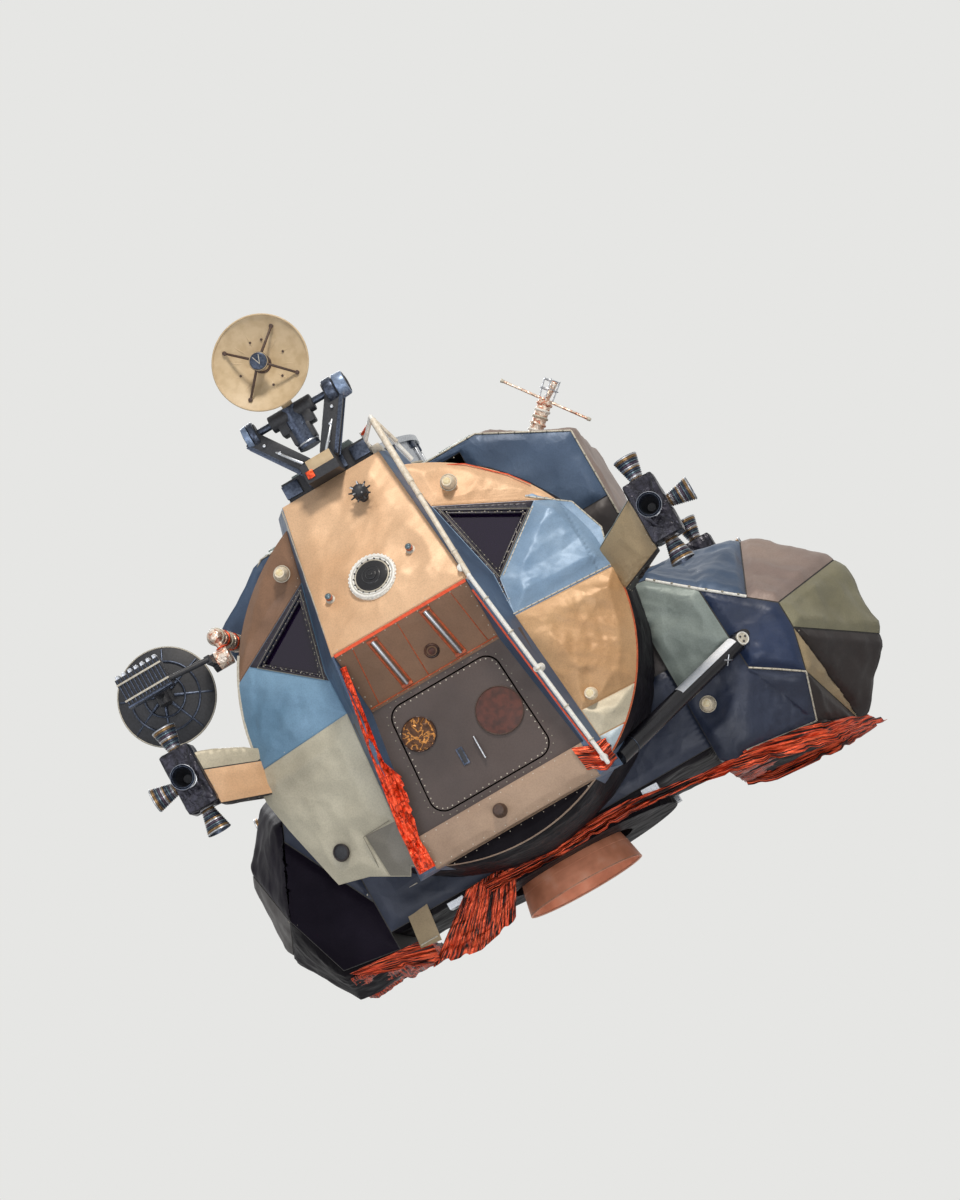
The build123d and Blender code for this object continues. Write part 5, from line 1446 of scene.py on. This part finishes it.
# %% [markdown]
# ## Rendezvous radar
# A cream dish hangs in a fork. Four dark struts hold the small plate in front of it. The arms
# of the fork are broad and dark, their bearings have bright covers, and the shaft carries a
# dark gyro housing. Each part rides on the body that moves it.
# %% Radar dish
dish_low, dish_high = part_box("radar_dish")
DISH = Vector((0, dish_low.y + 0.060, (dish_low.z + dish_high.z) / 2))
DISH_R = dish_high.x
BOWL_DEEP = 0.080


def on_bowl(radius, angle, lift=0.0):
    """A place inside the bowl, by its distance from the middle and its angle."""
    deep = BOWL_DEEP * (1 - (radius / DISH_R) ** 2) - 0.006
    return DISH + around(angle, ACROSS, UP) * radius - FACE_OUT * (deep - lift)


parts = [ring(DISH, FACE_OUT, DISH_R - 0.006, 0.006, CREAM, 72),
         bar(DISH + FACE_OUT * 0.052, DISH + FACE_OUT * 0.066, 0.062, STEEL, 0.050, 32),
         ring(on_bowl(0, 0, 0.004), FACE_OUT, 0.050, 0.008, DARK_BROWN, 32)]
for k in range(4):
    angle = math.radians(45 + 90 * k)
    tip = DISH + FACE_OUT * 0.046 + around(angle, ACROSS, UP) * 0.045
    parts.append(bar(on_bowl(0.235, angle), tip, 0.0075, DARK_BROWN, 0.009, 10))
    parts.append(bar(on_bowl(0.235, angle), on_bowl(0.235, angle, 0.012), 0.014, DARK_BROWN, sides=12))
for angle in (0, 90, 180, 270, 62, 300):
    spot = on_bowl(0.150, math.radians(angle))
    parts.append(bar(spot, spot + FACE_OUT * 0.004, 0.008, DARK_BROWN, sides=12))
for aside in (-0.020, 0.020):
    high = DISH + Vector((aside, -0.066, 0.036))
    parts.append(bar(high, DISH + Vector((0, -0.066, -0.020)), 0.0022, TAPE, sides=8))
join("radar_dish_struts", parts, "radar_dish")
parts = []
for k in range(12):
    way = around(math.radians(30 * k), ACROSS, UP)
    inner, outer = DISH + way * 0.07 - FACE_OUT * 0.084, DISH + way * 0.28 - FACE_OUT * 0.026
    parts.append(bar(inner, outer, 0.010, CREAM, 0.006, 8))
parts.append(ring(DISH - FACE_OUT * 0.070, FACE_OUT, 0.170, 0.008, CREAM, 48))
join("radar_dish_ribs", parts, "radar_dish")

# %% Radar arms, bearings and gyro housing
shaft_low, shaft_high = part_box("radar_shaft")
SHAFT = Vector((0, (shaft_low.y + shaft_high.y) / 2, 3.026))
FORK_BASE_TOP = 2.685
parts = []
for side, end in ((-1, 0.327), (1, 0.390)):
    low = Vector((side * 0.075, SHAFT.y, FORK_BASE_TOP))
    top = Vector((side * 0.300, SHAFT.y, SHAFT.z - 0.01))
    middle, long, lean = (low + top) / 2, (top - low).length, aim(low, top).to_3x3()
    parts.append(slab(middle, (0.100, 0.110, long), BLACK, lean))
    for rim in (-0.048, 0.048):
        parts.append(slab(middle + lean @ Vector((rim, -0.050, 0)), (0.010, 0.024, long * 0.94), STEEL, lean))
    drum_in, drum_out = Vector((side * 0.246, SHAFT.y, SHAFT.z)), Vector((side * end, SHAFT.y, SHAFT.z))
    parts.append(bar(drum_in, drum_in.lerp(drum_out, 0.45), 0.084, STEEL, sides=32))
    parts.append(bar(drum_in.lerp(drum_out, 0.50), drum_out, 0.084, DRUM_BLUE, 0.078, 32))
    parts.append(ring(drum_out, (side, 0, 0), 0.040, 0.005, BLACK, 24))
    for z in (0.06, 0.14, 0.22):
        spot = low.lerp(top, z / 0.30) + FACE_OUT * 0.056
        parts.append(bar(spot, spot + FACE_OUT * 0.008, 0.010, METAL, sides=10))
for side in (-1, 1):
    parts.append(bar((side * 0.20, SHAFT.y - 0.04, 2.86), (side * 0.08, SHAFT.y - 0.10, 2.70), 0.010, METAL))
parts.append(slab((0.02, SHAFT.y - 0.135, 2.660), (0.170, 0.036, 0.070), CREAM))
parts.append(slab((-0.07, SHAFT.y - 0.140, 2.610), (0.050, 0.040, 0.050), ORANGE_FOIL))
for x in (-0.24, -0.08, 0.08, 0.24):
    parts.append(slab((x, -1.478, 2.640), (0.110, 0.020, 0.090), STEEL))
for x, y in ((-0.15, -1.22), (0.15, -1.12), (0.13, -1.34)):
    parts.append(slab((x, y, 2.725), (0.16, 0.14, 0.05), SAGE))
join("radar_fork_arms", parts)
parts = [slab((0, SHAFT.y + 0.01, 2.880), (0.150, 0.120, 0.110), BLACK),
         bar((-0.150, SHAFT.y, SHAFT.z), (0.150, SHAFT.y, SHAFT.z), 0.056, BLACK, sides=24),
         slab((0, SHAFT.y + 0.01, 2.960), (0.230, 0.110, 0.090), BLACK),
         slab((0, SHAFT.y - 0.055, 2.955), (0.090, 0.020, 0.060), STEEL),
         ring((0, SHAFT.y, 2.815), (0, 0, 1), 0.068, 0.007, METAL, 32)]
join("radar_gyro_housing", parts, "radar_shaft")

# %% [markdown]
# ## Thruster clusters
# Each cluster is a box in crumpled dark foil with four small bells. A bell is turned from
# stacked rings, and firing has tinted the metal straw, violet and blue. One bell is modelled
# from a profile, spun round its axis, and copied to the sixteen places.
# %% One ribbed bell
QUAD_X, QUAD_Y, QUAD_Z = 1.630, 1.660, 1.372
QUAD_SIZE = Vector((0.190, 0.200, 0.390))
BELL_THROAT, BELL_MOUTH, BELL_LONG = 0.032, 0.073, 0.165
RIBS = 13


def ribbed_bell():
    """A bell along +Z from the origin, with a finish for each ring."""
    profile = []
    for k in range(RIBS):
        for share, out in ((0.08, 0.002), (0.30, 0.007), (0.65, 0.007), (0.92, 0.002)):
            way = (k + share) / RIBS
            profile.append((BELL_THROAT + (BELL_MOUTH - BELL_THROAT) * way + out, 0, BELL_LONG * way))
    profile.append((BELL_MOUTH + 0.004, 0, BELL_LONG))
    profile.append((BELL_MOUTH - 0.008, 0, BELL_LONG))
    profile.append((BELL_THROAT, 0, 0.012))
    obj = mesh_piece("bell", profile, [], [(i, i + 1) for i in range(len(profile) - 1)])
    edit(obj, "VERT")
    bpy.ops.mesh.select_all(action="SELECT")
    bpy.ops.mesh.spin(steps=22, angle=math.tau, center=(0, 0, 0), axis=(0, 0, 1))
    bpy.ops.mesh.select_all(action="SELECT")
    bpy.ops.mesh.remove_doubles(threshold=0.0001)
    bpy.ops.mesh.normals_make_consistent(inside=False)
    done()
    for finish in (STEEL, GOLD_TINT, VIOLET_TINT, BLUE_TINT, METAL):
        obj.data.materials.append(finish)
    for face in obj.data.polygons:
        centre = face.center
        radius = math.hypot(centre.x, centre.y)
        level = centre.z / BELL_LONG
        outside = radius > BELL_THROAT + (BELL_MOUTH - BELL_THROAT) * level - 0.002
        face.material_index = [0, 1, 4, 2, 3][int(level * RIBS) % 5] if outside else 0
    return obj


BELL_MODEL = ribbed_bell()
print("bell", len(BELL_MODEL.data.polygons), "faces")

# %% Bells and boxes of the four clusters
for node, sx, sy in (("thrusters_front_left", -1, -1), ("thrusters_front_right", 1, -1),
                     ("thrusters_rear_left", -1, 1), ("thrusters_rear_right", 1, 1)):
    centre = Vector((sx * QUAD_X, sy * QUAD_Y, QUAD_Z))
    parts = []
    for way in (Vector((0, 0, 1)), Vector((0, 0, -1)), Vector((sx, 0, 0)), Vector((0, sy, 0))):
        root = centre + Vector(way[i] * QUAD_SIZE[i] / 2 for i in range(3))
        copy = bpy.data.objects.new("bell_copy", BELL_MODEL.data.copy())
        bpy.context.scene.collection.objects.link(copy)
        copy.matrix_world = Matrix.Translation(root) @ aim((0, 0, 0), way)
        settle(copy)
        parts.append(copy)
        parts.append(ring(root + way * 0.004, way, 0.052, 0.008, METAL, 24))
    for z in (-0.16, 0.16):
        for side in (-1, 1):
            spot = centre + Vector((sx * 0.085 * side, 0, z))
            parts.append(slab(spot, (0.014, 0.196, 0.014), METAL))
    join(node + "_bells", parts, angle=25)
    dressed(node, node + "_foil",
            lambda c, n, m=centre: all(abs((c - m)[i]) < QUAD_SIZE[i] / 2 + 0.003 for i in range(3)),
            VIOLET_FOIL, 0.012, 0.11, 61, 0.004, 0.032, 0, 0.02, parted=True)
bpy.data.objects.remove(BELL_MODEL)

# %% [markdown]
# ## Steerable antenna
# The boom is wrapped in white and orange foil. On the yoke sits a dark electronics box with
# cooling fins, whose bright teeth show along its top edge. Ribs stiffen the back of the dish.
# %% Fins and teeth on the electronics box
BOX_LOW, BOX_HIGH = Vector((-1.765, -1.558, 1.977)), Vector((-1.460, -1.468, 2.157))
BOX_MIDDLE = (BOX_LOW + BOX_HIGH) / 2
parts = []
for k in range(12):
    x = BOX_LOW.x + (k + 0.5) * (BOX_HIGH.x - BOX_LOW.x) / 12
    parts.append(slab((x, BOX_LOW.y - 0.004, BOX_MIDDLE.z), (0.006, 0.016, 0.170), STEEL))
for k in range(7):
    x = BOX_LOW.x + (k + 0.5) * (BOX_HIGH.x - BOX_LOW.x) / 7
    parts.append(slab((x, BOX_MIDDLE.y, BOX_HIGH.z + 0.010), (0.024, 0.070, 0.028), METAL))
parts.append(slab((BOX_MIDDLE.x, BOX_MIDDLE.y, BOX_LOW.z - 0.006), (0.310, 0.094, 0.014), STEEL))
for z in (2.120, 2.010):
    parts.append(slab((BOX_MIDDLE.x, BOX_LOW.y - 0.008, z), (0.310, 0.010, 0.012), TAPE))
for x, y, z in ((-1.52, -1.46, 1.990), (-1.70, -1.46, 1.995), (-1.50, -1.45, 2.10)):
    parts.append(bar((x, y, z), (x, y + 0.05, z), 0.018, METAL, 0.010))
join("antenna_box_fins", parts, "antenna_yoke")

# %% Ribs on the steerable dish, and foil on its boom
yaw_low, yaw_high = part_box("antenna_dish")
YAW_DISH = Vector(((yaw_low.x + yaw_high.x) / 2, yaw_high.y, (yaw_low.z + yaw_high.z) / 2))
parts = []
for k in range(8):
    way = around(math.radians(45 * k + 22.5), ACROSS, UP)
    parts.append(bar(YAW_DISH + way * 0.06 + FACE_OUT * 0.074, YAW_DISH + way * 0.300 + FACE_OUT * 0.010,
                     0.012, STEEL, 0.007, 8))
for radius, deep in ((0.130, 0.066), (0.220, 0.040)):
    parts.append(ring(YAW_DISH + FACE_OUT * (deep + 0.002), FACE_OUT, radius, 0.007, STEEL, 48))
parts.append(bar(YAW_DISH + FACE_OUT * 0.064, YAW_DISH - FACE_OUT * 0.004, 0.016, METAL, 0.008))
parts.append(ring(YAW_DISH + FACE_OUT * 0.003, FACE_OUT, 0.313, 0.004, TAPE, 64))
join("antenna_dish_ribs", parts, "antenna_dish")
parts = []
for k in range(9):
    spot = Vector((-1.085, -0.70, 2.110)).lerp(Vector((-1.140, -1.160, 2.150)), k / 8)
    parts.append(ring(spot, (-0.055, -0.482, 0.04), 0.050, 0.008, [ORANGE_FOIL, WHITE_FOIL, TAPE][k % 3], 24))
parts.append(bar((-1.140, -1.168, 2.140), (-1.140, -1.168, 2.196), 0.046, WHITE, 0.030, 24))
parts.append(ring((-1.140, -1.168, 2.070), (0, 0, 1), 0.030, 0.006, ORANGE_FOIL, 24))
join("antenna_boom_rings", parts)

# %% [markdown]
# ## Tank strut, handrail and cabin fittings
# The strut to the fuel tank is a glossy black tube. A white band over the upper half of its sunny
# side is a painted highlight, and a small cross of wire and a round cap sit near its upper end.
# %% Strut
STRUT_LOW, STRUT_HIGH = Vector((0.690, -1.450, 0.205)), Vector((1.700, -0.757, 0.550))
STRUT_R = 0.057
STRUT_LONG = (STRUT_HIGH - STRUT_LOW).length
# The sunny side, along which the white band paints the highlight.
LIT_SIDE = Vector((0.35, -0.94, -0.1))
strut_way = (STRUT_HIGH - STRUT_LOW).normalized()
strut_out = (LIT_SIDE - strut_way * strut_way.dot(LIT_SIDE)).normalized()
strut_side = strut_way.cross(strut_out)
highlight_way = (strut_out * 0.70 - strut_side * 0.71).normalized()
band = start_with(bpy.ops.mesh.primitive_cylinder_add, vertices=64, radius=STRUT_R + 0.0016,
                  depth=STRUT_LONG * 0.42, end_fill_type="NOTHING")
band.matrix_world = Matrix.Translation(STRUT_LOW.lerp(STRUT_HIGH, 0.69)) @ aim(STRUT_LOW, STRUT_HIGH)
settle(band)
select_faces(band, lambda c, n: n.dot(highlight_way) < math.cos(math.radians(34)))
bpy.ops.mesh.delete(type="FACE")
done()
modify(band, "SOLIDIFY", thickness=0.0012)
paint(band, STRUT_PAINTED_HIGHLIGHT)
parts = [band]
star = STRUT_LOW.lerp(STRUT_HIGH, 0.80) + (strut_out * 0.80 + strut_side * 0.60) * (STRUT_R + 0.002)
for turn in (35, 125):
    arm = around(math.radians(turn), strut_way, strut_side * 0.80 - strut_out * 0.60)
    parts.append(bar(star - arm * 0.036, star + arm * 0.036, 0.005, METAL, sides=8))
for share in (0.10, 0.93):
    spot = STRUT_LOW.lerp(STRUT_HIGH, share)
    parts.append(ring(spot, strut_way, STRUT_R + 0.001, 0.003, STEEL, 32))
cap = STRUT_HIGH - strut_way * 0.075 + strut_out * 0.044
parts.append(bar(cap, cap + strut_out * 0.018, 0.044, TAPE, 0.040, 32))
parts.append(ring(cap + strut_out * 0.018, strut_out, 0.038, 0.004, WHITE, 32))
for k in range(3):
    spot = cap + around(THIRD * k, strut_way, strut_side) * 0.020 + strut_out * 0.016
    parts.append(bar(spot, spot + strut_out * 0.006, 0.007, BLACK, sides=10))
join("tank_strut_highlight_and_fittings", parts)

# %% Rail brackets and the roof's front
RAIL_TOP, RAIL_KNEE = Vector((0.410, -1.600, 2.760)), Vector((0.492, -2.066, 1.524))
RAIL_FOOT = Vector((0.648, -1.892, 0.160))
parts = []
for spot, toward in (((0.470, -2.045, 1.60), (0.0, 0.03, 0.0)), ((0.560, -1.985, 0.85), (0.03, 0.06, 0)),
                     ((0.640, -1.900, 0.20), (0.0, 0.06, 0.0))):
    start = Vector(spot)
    parts.append(bar(start, start + Vector(toward), 0.022, WHITE, 0.026))
for share in (0.12, 0.3, 0.5, 0.7, 0.88):
    parts.append(ring(RAIL_KNEE.lerp(RAIL_FOOT, share), (0.11, 0.13, -1), 0.016, 0.005, TAPE, 16))
for share in (0.15, 0.5, 0.85):
    parts.append(ring(RAIL_TOP.lerp(RAIL_KNEE, share), (0.06, -0.35, -0.93), 0.016, 0.005, TAPE, 16))
parts.append(bar((0.300, -1.46, 2.72), (0.405, -1.585, 2.745), 0.010, ORANGE))
parts.append(bar((0.300, -1.42, 2.60), (0.300, -1.46, 2.74), 0.012, WHITE))
parts.append(slab((0.330, -1.36, 2.60), (0.06, 0.20, 0.06), TAPE))
parts.append(bar(RAIL_TOP.lerp(RAIL_KNEE, 0.02), RAIL_TOP.lerp(RAIL_KNEE, 0.42), 0.021, CREAM_TAPE))
parts.append(bar(RAIL_TOP.lerp(RAIL_KNEE, 0.42), RAIL_TOP.lerp(RAIL_KNEE, 0.99), 0.017, CREAM_TAPE))
parts.append(bar(RAIL_TOP, (0.470, -1.520, 2.560), 0.012, CREAM_TAPE))
parts.append(bar((0.392, -1.56, 2.735), (0.452, -1.500, 2.585), 0.010, ORANGE))
join("handrail_brackets", parts)

# %% [markdown]
# ## Inflight antenna
# A short mast in foil stands on the right shoulder, with a cross rod that ends in small balls,
# and a cage of thin hoops at its top.
# %% Mast rings, balls and hoops
MAST_FOOT, MAST_HEAD = Vector((1.080, 0, 2.390)), Vector((1.310, 0, 2.600))
MAST_ARM = Vector((0.18, 0, -0.25))
mast_way = (MAST_HEAD - MAST_FOOT).normalized()
rod_way = MAST_ARM.normalized()
parts = []
for k in range(7):
    spot = MAST_FOOT.lerp(MAST_HEAD, 0.05 + k / 7)
    parts.append(ring(spot, mast_way, 0.046, 0.009, [WHITE_FOIL, TAPE, WHITE][k % 3], 24))
parts.append(ring(MAST_HEAD + mast_way * 0.07, mast_way, 0.060, 0.004, METAL, 32))
parts.append(ring(MAST_HEAD + mast_way * 0.13, mast_way, 0.050, 0.004, METAL, 32))
for k in range(4):
    way = around(k * math.pi / 2, mast_way.cross(-FACE_OUT), -FACE_OUT)
    hoop_top = MAST_HEAD + way * 0.052 + mast_way * 0.14
    parts.append(bar(MAST_HEAD + way * 0.045, hoop_top, 0.005, METAL, sides=8))
for side in (-1, 1):
    tip = MAST_HEAD + MAST_ARM * side
    parts.append(bar(tip - rod_way * 0.012, tip + rod_way * 0.012, 0.014, TAPE, 0.010, 16))
join("inflight_antenna_rings", parts)

# %% [markdown]
# ## Roof, rear and underside
# The docking tunnel has a bright ring with latches, and its hatch a handle and ribs. The rear bay
# carries small tanks, fins and cable runs, and the underside shows pipes round the engine.
# %% Docking ring and hatch
tunnel_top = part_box("docking_tunnel")[1].z
parts = [ring((0, 0, tunnel_top - 0.012), UP, 0.425, 0.012, METAL, 96),
         ring((0, 0, 2.640), UP, 0.450, 0.010, TAPE, 96)]
for k in range(12):
    angle = math.radians(30 * k + 15)
    way = around(angle, ACROSS, -FACE_OUT)
    parts.append(slab(way * 0.446 + UP * 2.780, (0.034, 0.060, 0.070), STEEL, Matrix.Rotation(angle, 3, "Z")))
    parts.append(bar(way * 0.455 + UP * 2.560, way * 0.455 + UP * 2.740, 0.008, METAL, sides=10))
join("docking_ring_latches", parts)
hatch_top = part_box("overhead_hatch")[1].z
parts = [ring((0, 0, hatch_top - 0.003), UP, 0.350, 0.008, METAL, 72),
         ring((0, 0, hatch_top - 0.004), UP, 0.180, 0.006, STEEL, 48)]
for k in range(6):
    way, level = around(math.radians(60 * k + 30), ACROSS, -FACE_OUT), UP * (hatch_top - 0.004)
    parts.append(bar(way * 0.18 + level, way * 0.345 + level, 0.008, METAL, sides=10))
for x in (-0.07, 0.07):
    parts.append(bar((x, -0.02, hatch_top - 0.006), (x, -0.02, hatch_top + 0.040), 0.008, METAL))
parts.append(bar((-0.078, -0.02, hatch_top + 0.040), (0.078, -0.02, hatch_top + 0.040), 0.009, ORANGE))
join("overhead_hatch_ribs", parts, "overhead_hatch")

# %% Roof panels, rear tanks and cable runs
ROOF_Z = 2.514
parts = []
for x, y, size in ((-0.30, 0.58, (0.30, 0.12, 0.05)), (0.36, 0.58, (0.26, 0.12, 0.04)),
                   (0.66, -0.40, (0.16, 0.22, 0.05)), (-0.56, -0.48, (0.20, 0.18, 0.05))):
    parts.append(slab((x, y, ROOF_Z + size[2] / 2), size, SAGE))
for x in (-0.22, 0.22):
    parts.append(bar((x, 1.30, 2.155), (x, 0.80, 2.155), 0.012, ORANGE_FOIL, sides=12))
join("roof_boxes", parts)
parts = []
for sx in (-1, 1):
    for z in (0.75, 1.62):
        middle = Vector((sx * 0.815, 1.495, z))
        parts.append(bar(middle - UP * 0.20, middle + UP * 0.20, 0.068, METAL, sides=32))
        for end in (-0.20, 0.20):
            parts.append(bar(middle + UP * end, middle + UP * end * 1.30, 0.066, METAL, 0.020, 32))
        for level in (-0.12, 0.12):
            parts.append(ring(middle + UP * level, UP, 0.069, 0.006, ORANGE, 32))
join("rear_gas_tanks", parts)
parts = []
for k in range(17):
    x = -0.68 + 1.36 * k / 16
    parts.append(slab((x, 1.880, 1.54), (0.010, 0.024, 0.62), STEEL))
for x in (-0.36, 0.36):
    for z in (0.62, 0.96):
        parts.append(slab((x, 1.884, z), (0.50, 0.030, 0.24), SLATE))
        for dx in (-0.21, 0.21):
            for dz in (-0.09, 0.09):
                parts.append(bar((x + dx, 1.892, z + dz), (x + dx, 1.906, z + dz), 0.010, METAL, sides=10))
for z in (0.46, 0.79, 1.13):
    parts.append(bar((-0.70, 1.892, z), (0.70, 1.892, z), 0.012, ORANGE_FOIL, sides=12))
join("rear_rack_fins", parts)

# %% Underside
parts = [ring((0, 0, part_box("engine_nozzle")[0].z + 0.006), UP, 0.395, 0.007, EDGE_PINK, 96)]
for z, radius in ((-0.10, 0.372), (0.02, 0.335), (0.14, 0.294)):
    parts.append(ring((0, 0, z), UP, radius, 0.003, BELL, 72))
join("nozzle_bands", parts)
parts = []
for k in range(3):
    way = around(math.radians(120 * k + 30), ACROSS, -FACE_OUT)
    parts.append(bar(way * 0.20 + UP * 0.56, way * 0.42 + UP * 0.10, 0.012, METAL))
parts.append(ring((0, 0, 0.060), UP, 0.440, 0.014, ORANGE_FOIL, 72))
for sx in (-1, 1):
    for sy in (-1, 1):
        parts.append(bar((sx * 0.70, sy * 0.60, 0.0), (sx * 0.70, sy * 0.60, 0.014), 0.034, STEEL))
join("engine_pipes", parts)

# %% [markdown]
# ## Camera
# The camera stands where the photograph was taken from: about 32 metres away, a little to the
# right and low, near the floor, with a long lens, and tilted so that the stage leans to the left.
# %% Camera
AZIMUTH = math.radians(4.639)
ELEVATION = math.radians(9.088)
ROLL = math.radians(29.594)
DISTANCE = 31.943
TARGET = Vector((0.309, 0.0, 1.697))
FLOOR_Z = -3.40

level = Vector((math.cos(AZIMUTH), math.sin(AZIMUTH), 0))
away = Vector((math.sin(AZIMUTH), -math.cos(AZIMUTH), 0))
towards = away * math.cos(ELEVATION) - UP * math.sin(ELEVATION)
bpy.ops.object.camera_add(location=TARGET + towards * DISTANCE)
camera = bpy.context.object
camera.data.lens = 150
camera.data.sensor_width = 36
camera.data.clip_end = 200
upright = Matrix((level, level.cross(-towards), towards)).transposed()
camera.rotation_mode = "QUATERNION"
camera.rotation_quaternion = (upright @ Matrix.Rotation(-ROLL, 3, "Z")).to_quaternion()
bpy.context.scene.camera = camera
print("camera at", [round(c, 2) for c in camera.location])

# %% [markdown]
# ## Light, floor and backdrop
# One large lamp from the upper right stands for the sun, and soft lamps fill the shadows. The
# pale backdrop is only seen, directly or in metal and glass. It doesn't light the stage. The
# floor is clear from below, so that views from under the stage still show it.
# %% Lamps
CENTRE = Vector((0.2, -0.4, 1.4))


def lamp(name, way, distance, size, power, colour="#FFFFFF"):
    """A round soft lamp at a distance along a direction, aimed at the stage."""
    place = CENTRE + Vector(way).normalized() * distance
    bpy.ops.object.light_add(type="AREA", location=place)
    made = bpy.context.object
    made.name = name
    made.data.shape = "DISK"
    made.data.size = size
    made.data.energy = power
    made.data.color = linear(colour)[:3]
    made.rotation_mode = "QUATERNION"
    made.rotation_quaternion = (CENTRE - place).to_track_quat("-Z", "Y")


lamp("key", (0.42, -0.62, 0.78), 13, 2.0, 1080, "#FFF8EE")
lamp("front", (-0.5, -0.9, 0.15), 12, 7.0, 210, "#F0F4FF")
lamp("back", (-0.2, 0.9, 0.6), 12, 6.0, 520)
lamp("low", (0.12, -0.85, -0.28), 12, 7.0, 390)
print("lamps", len(bpy.data.lights))

# %% Floor and backdrop
floor = start_with(bpy.ops.mesh.primitive_circle_add, vertices=96, radius=14, fill_type="NGON",
                   location=(0, 0, FLOOR_Z))
floor.name = "floor"
settle(floor)
floor_paint, tree, _ = blank("pale_floor")
solid = put(tree, "BsdfPrincipled", {"Base Color": linear("#E4E4E2"), "Roughness": 0.9})
clear = put(tree, "BsdfTransparent")
seen_below = put(tree, "MixShader", {"Fac": put(tree, "NewGeometry").outputs["Backfacing"],
                                     1: solid.outputs[0], 2: clear.outputs[0]})
put(tree, "OutputMaterial", {"Surface": seen_below.outputs[0]})
paint(floor, floor_paint)
floor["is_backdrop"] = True

world = bpy.data.worlds.new("pale_studio")
bpy.context.scene.world = world
world.use_nodes = True
tree = world.node_tree
tree.nodes.clear()
path = put(tree, "LightPath")
mirrored = put(tree, "Math", {0: path.outputs["Is Glossy Ray"], 1: path.outputs["Is Transmission Ray"]},
               operation="MAXIMUM")
seen = put(tree, "Math", {0: path.outputs["Is Camera Ray"], 1: mirrored.outputs[0]}, operation="MAXIMUM")
lighting = put(tree, "Background", {"Color": linear("#DCE2EA"), "Strength": 0.30})
backdrop = put(tree, "Background", {"Color": linear("#E6E6E4"), "Strength": 1.0})
both = put(tree, "MixShader", {"Fac": seen.outputs[0], 1: lighting.outputs[0], 2: backdrop.outputs[0]})
put(tree, "OutputWorld", {"Surface": both.outputs[0]})
bpy.context.scene.view_settings.view_transform = "Standard"
print("floor and backdrop ready")

# %% [markdown]
# ## Finish
# The box of the dressed stage is measured.
# %% Sizes
low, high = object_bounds()
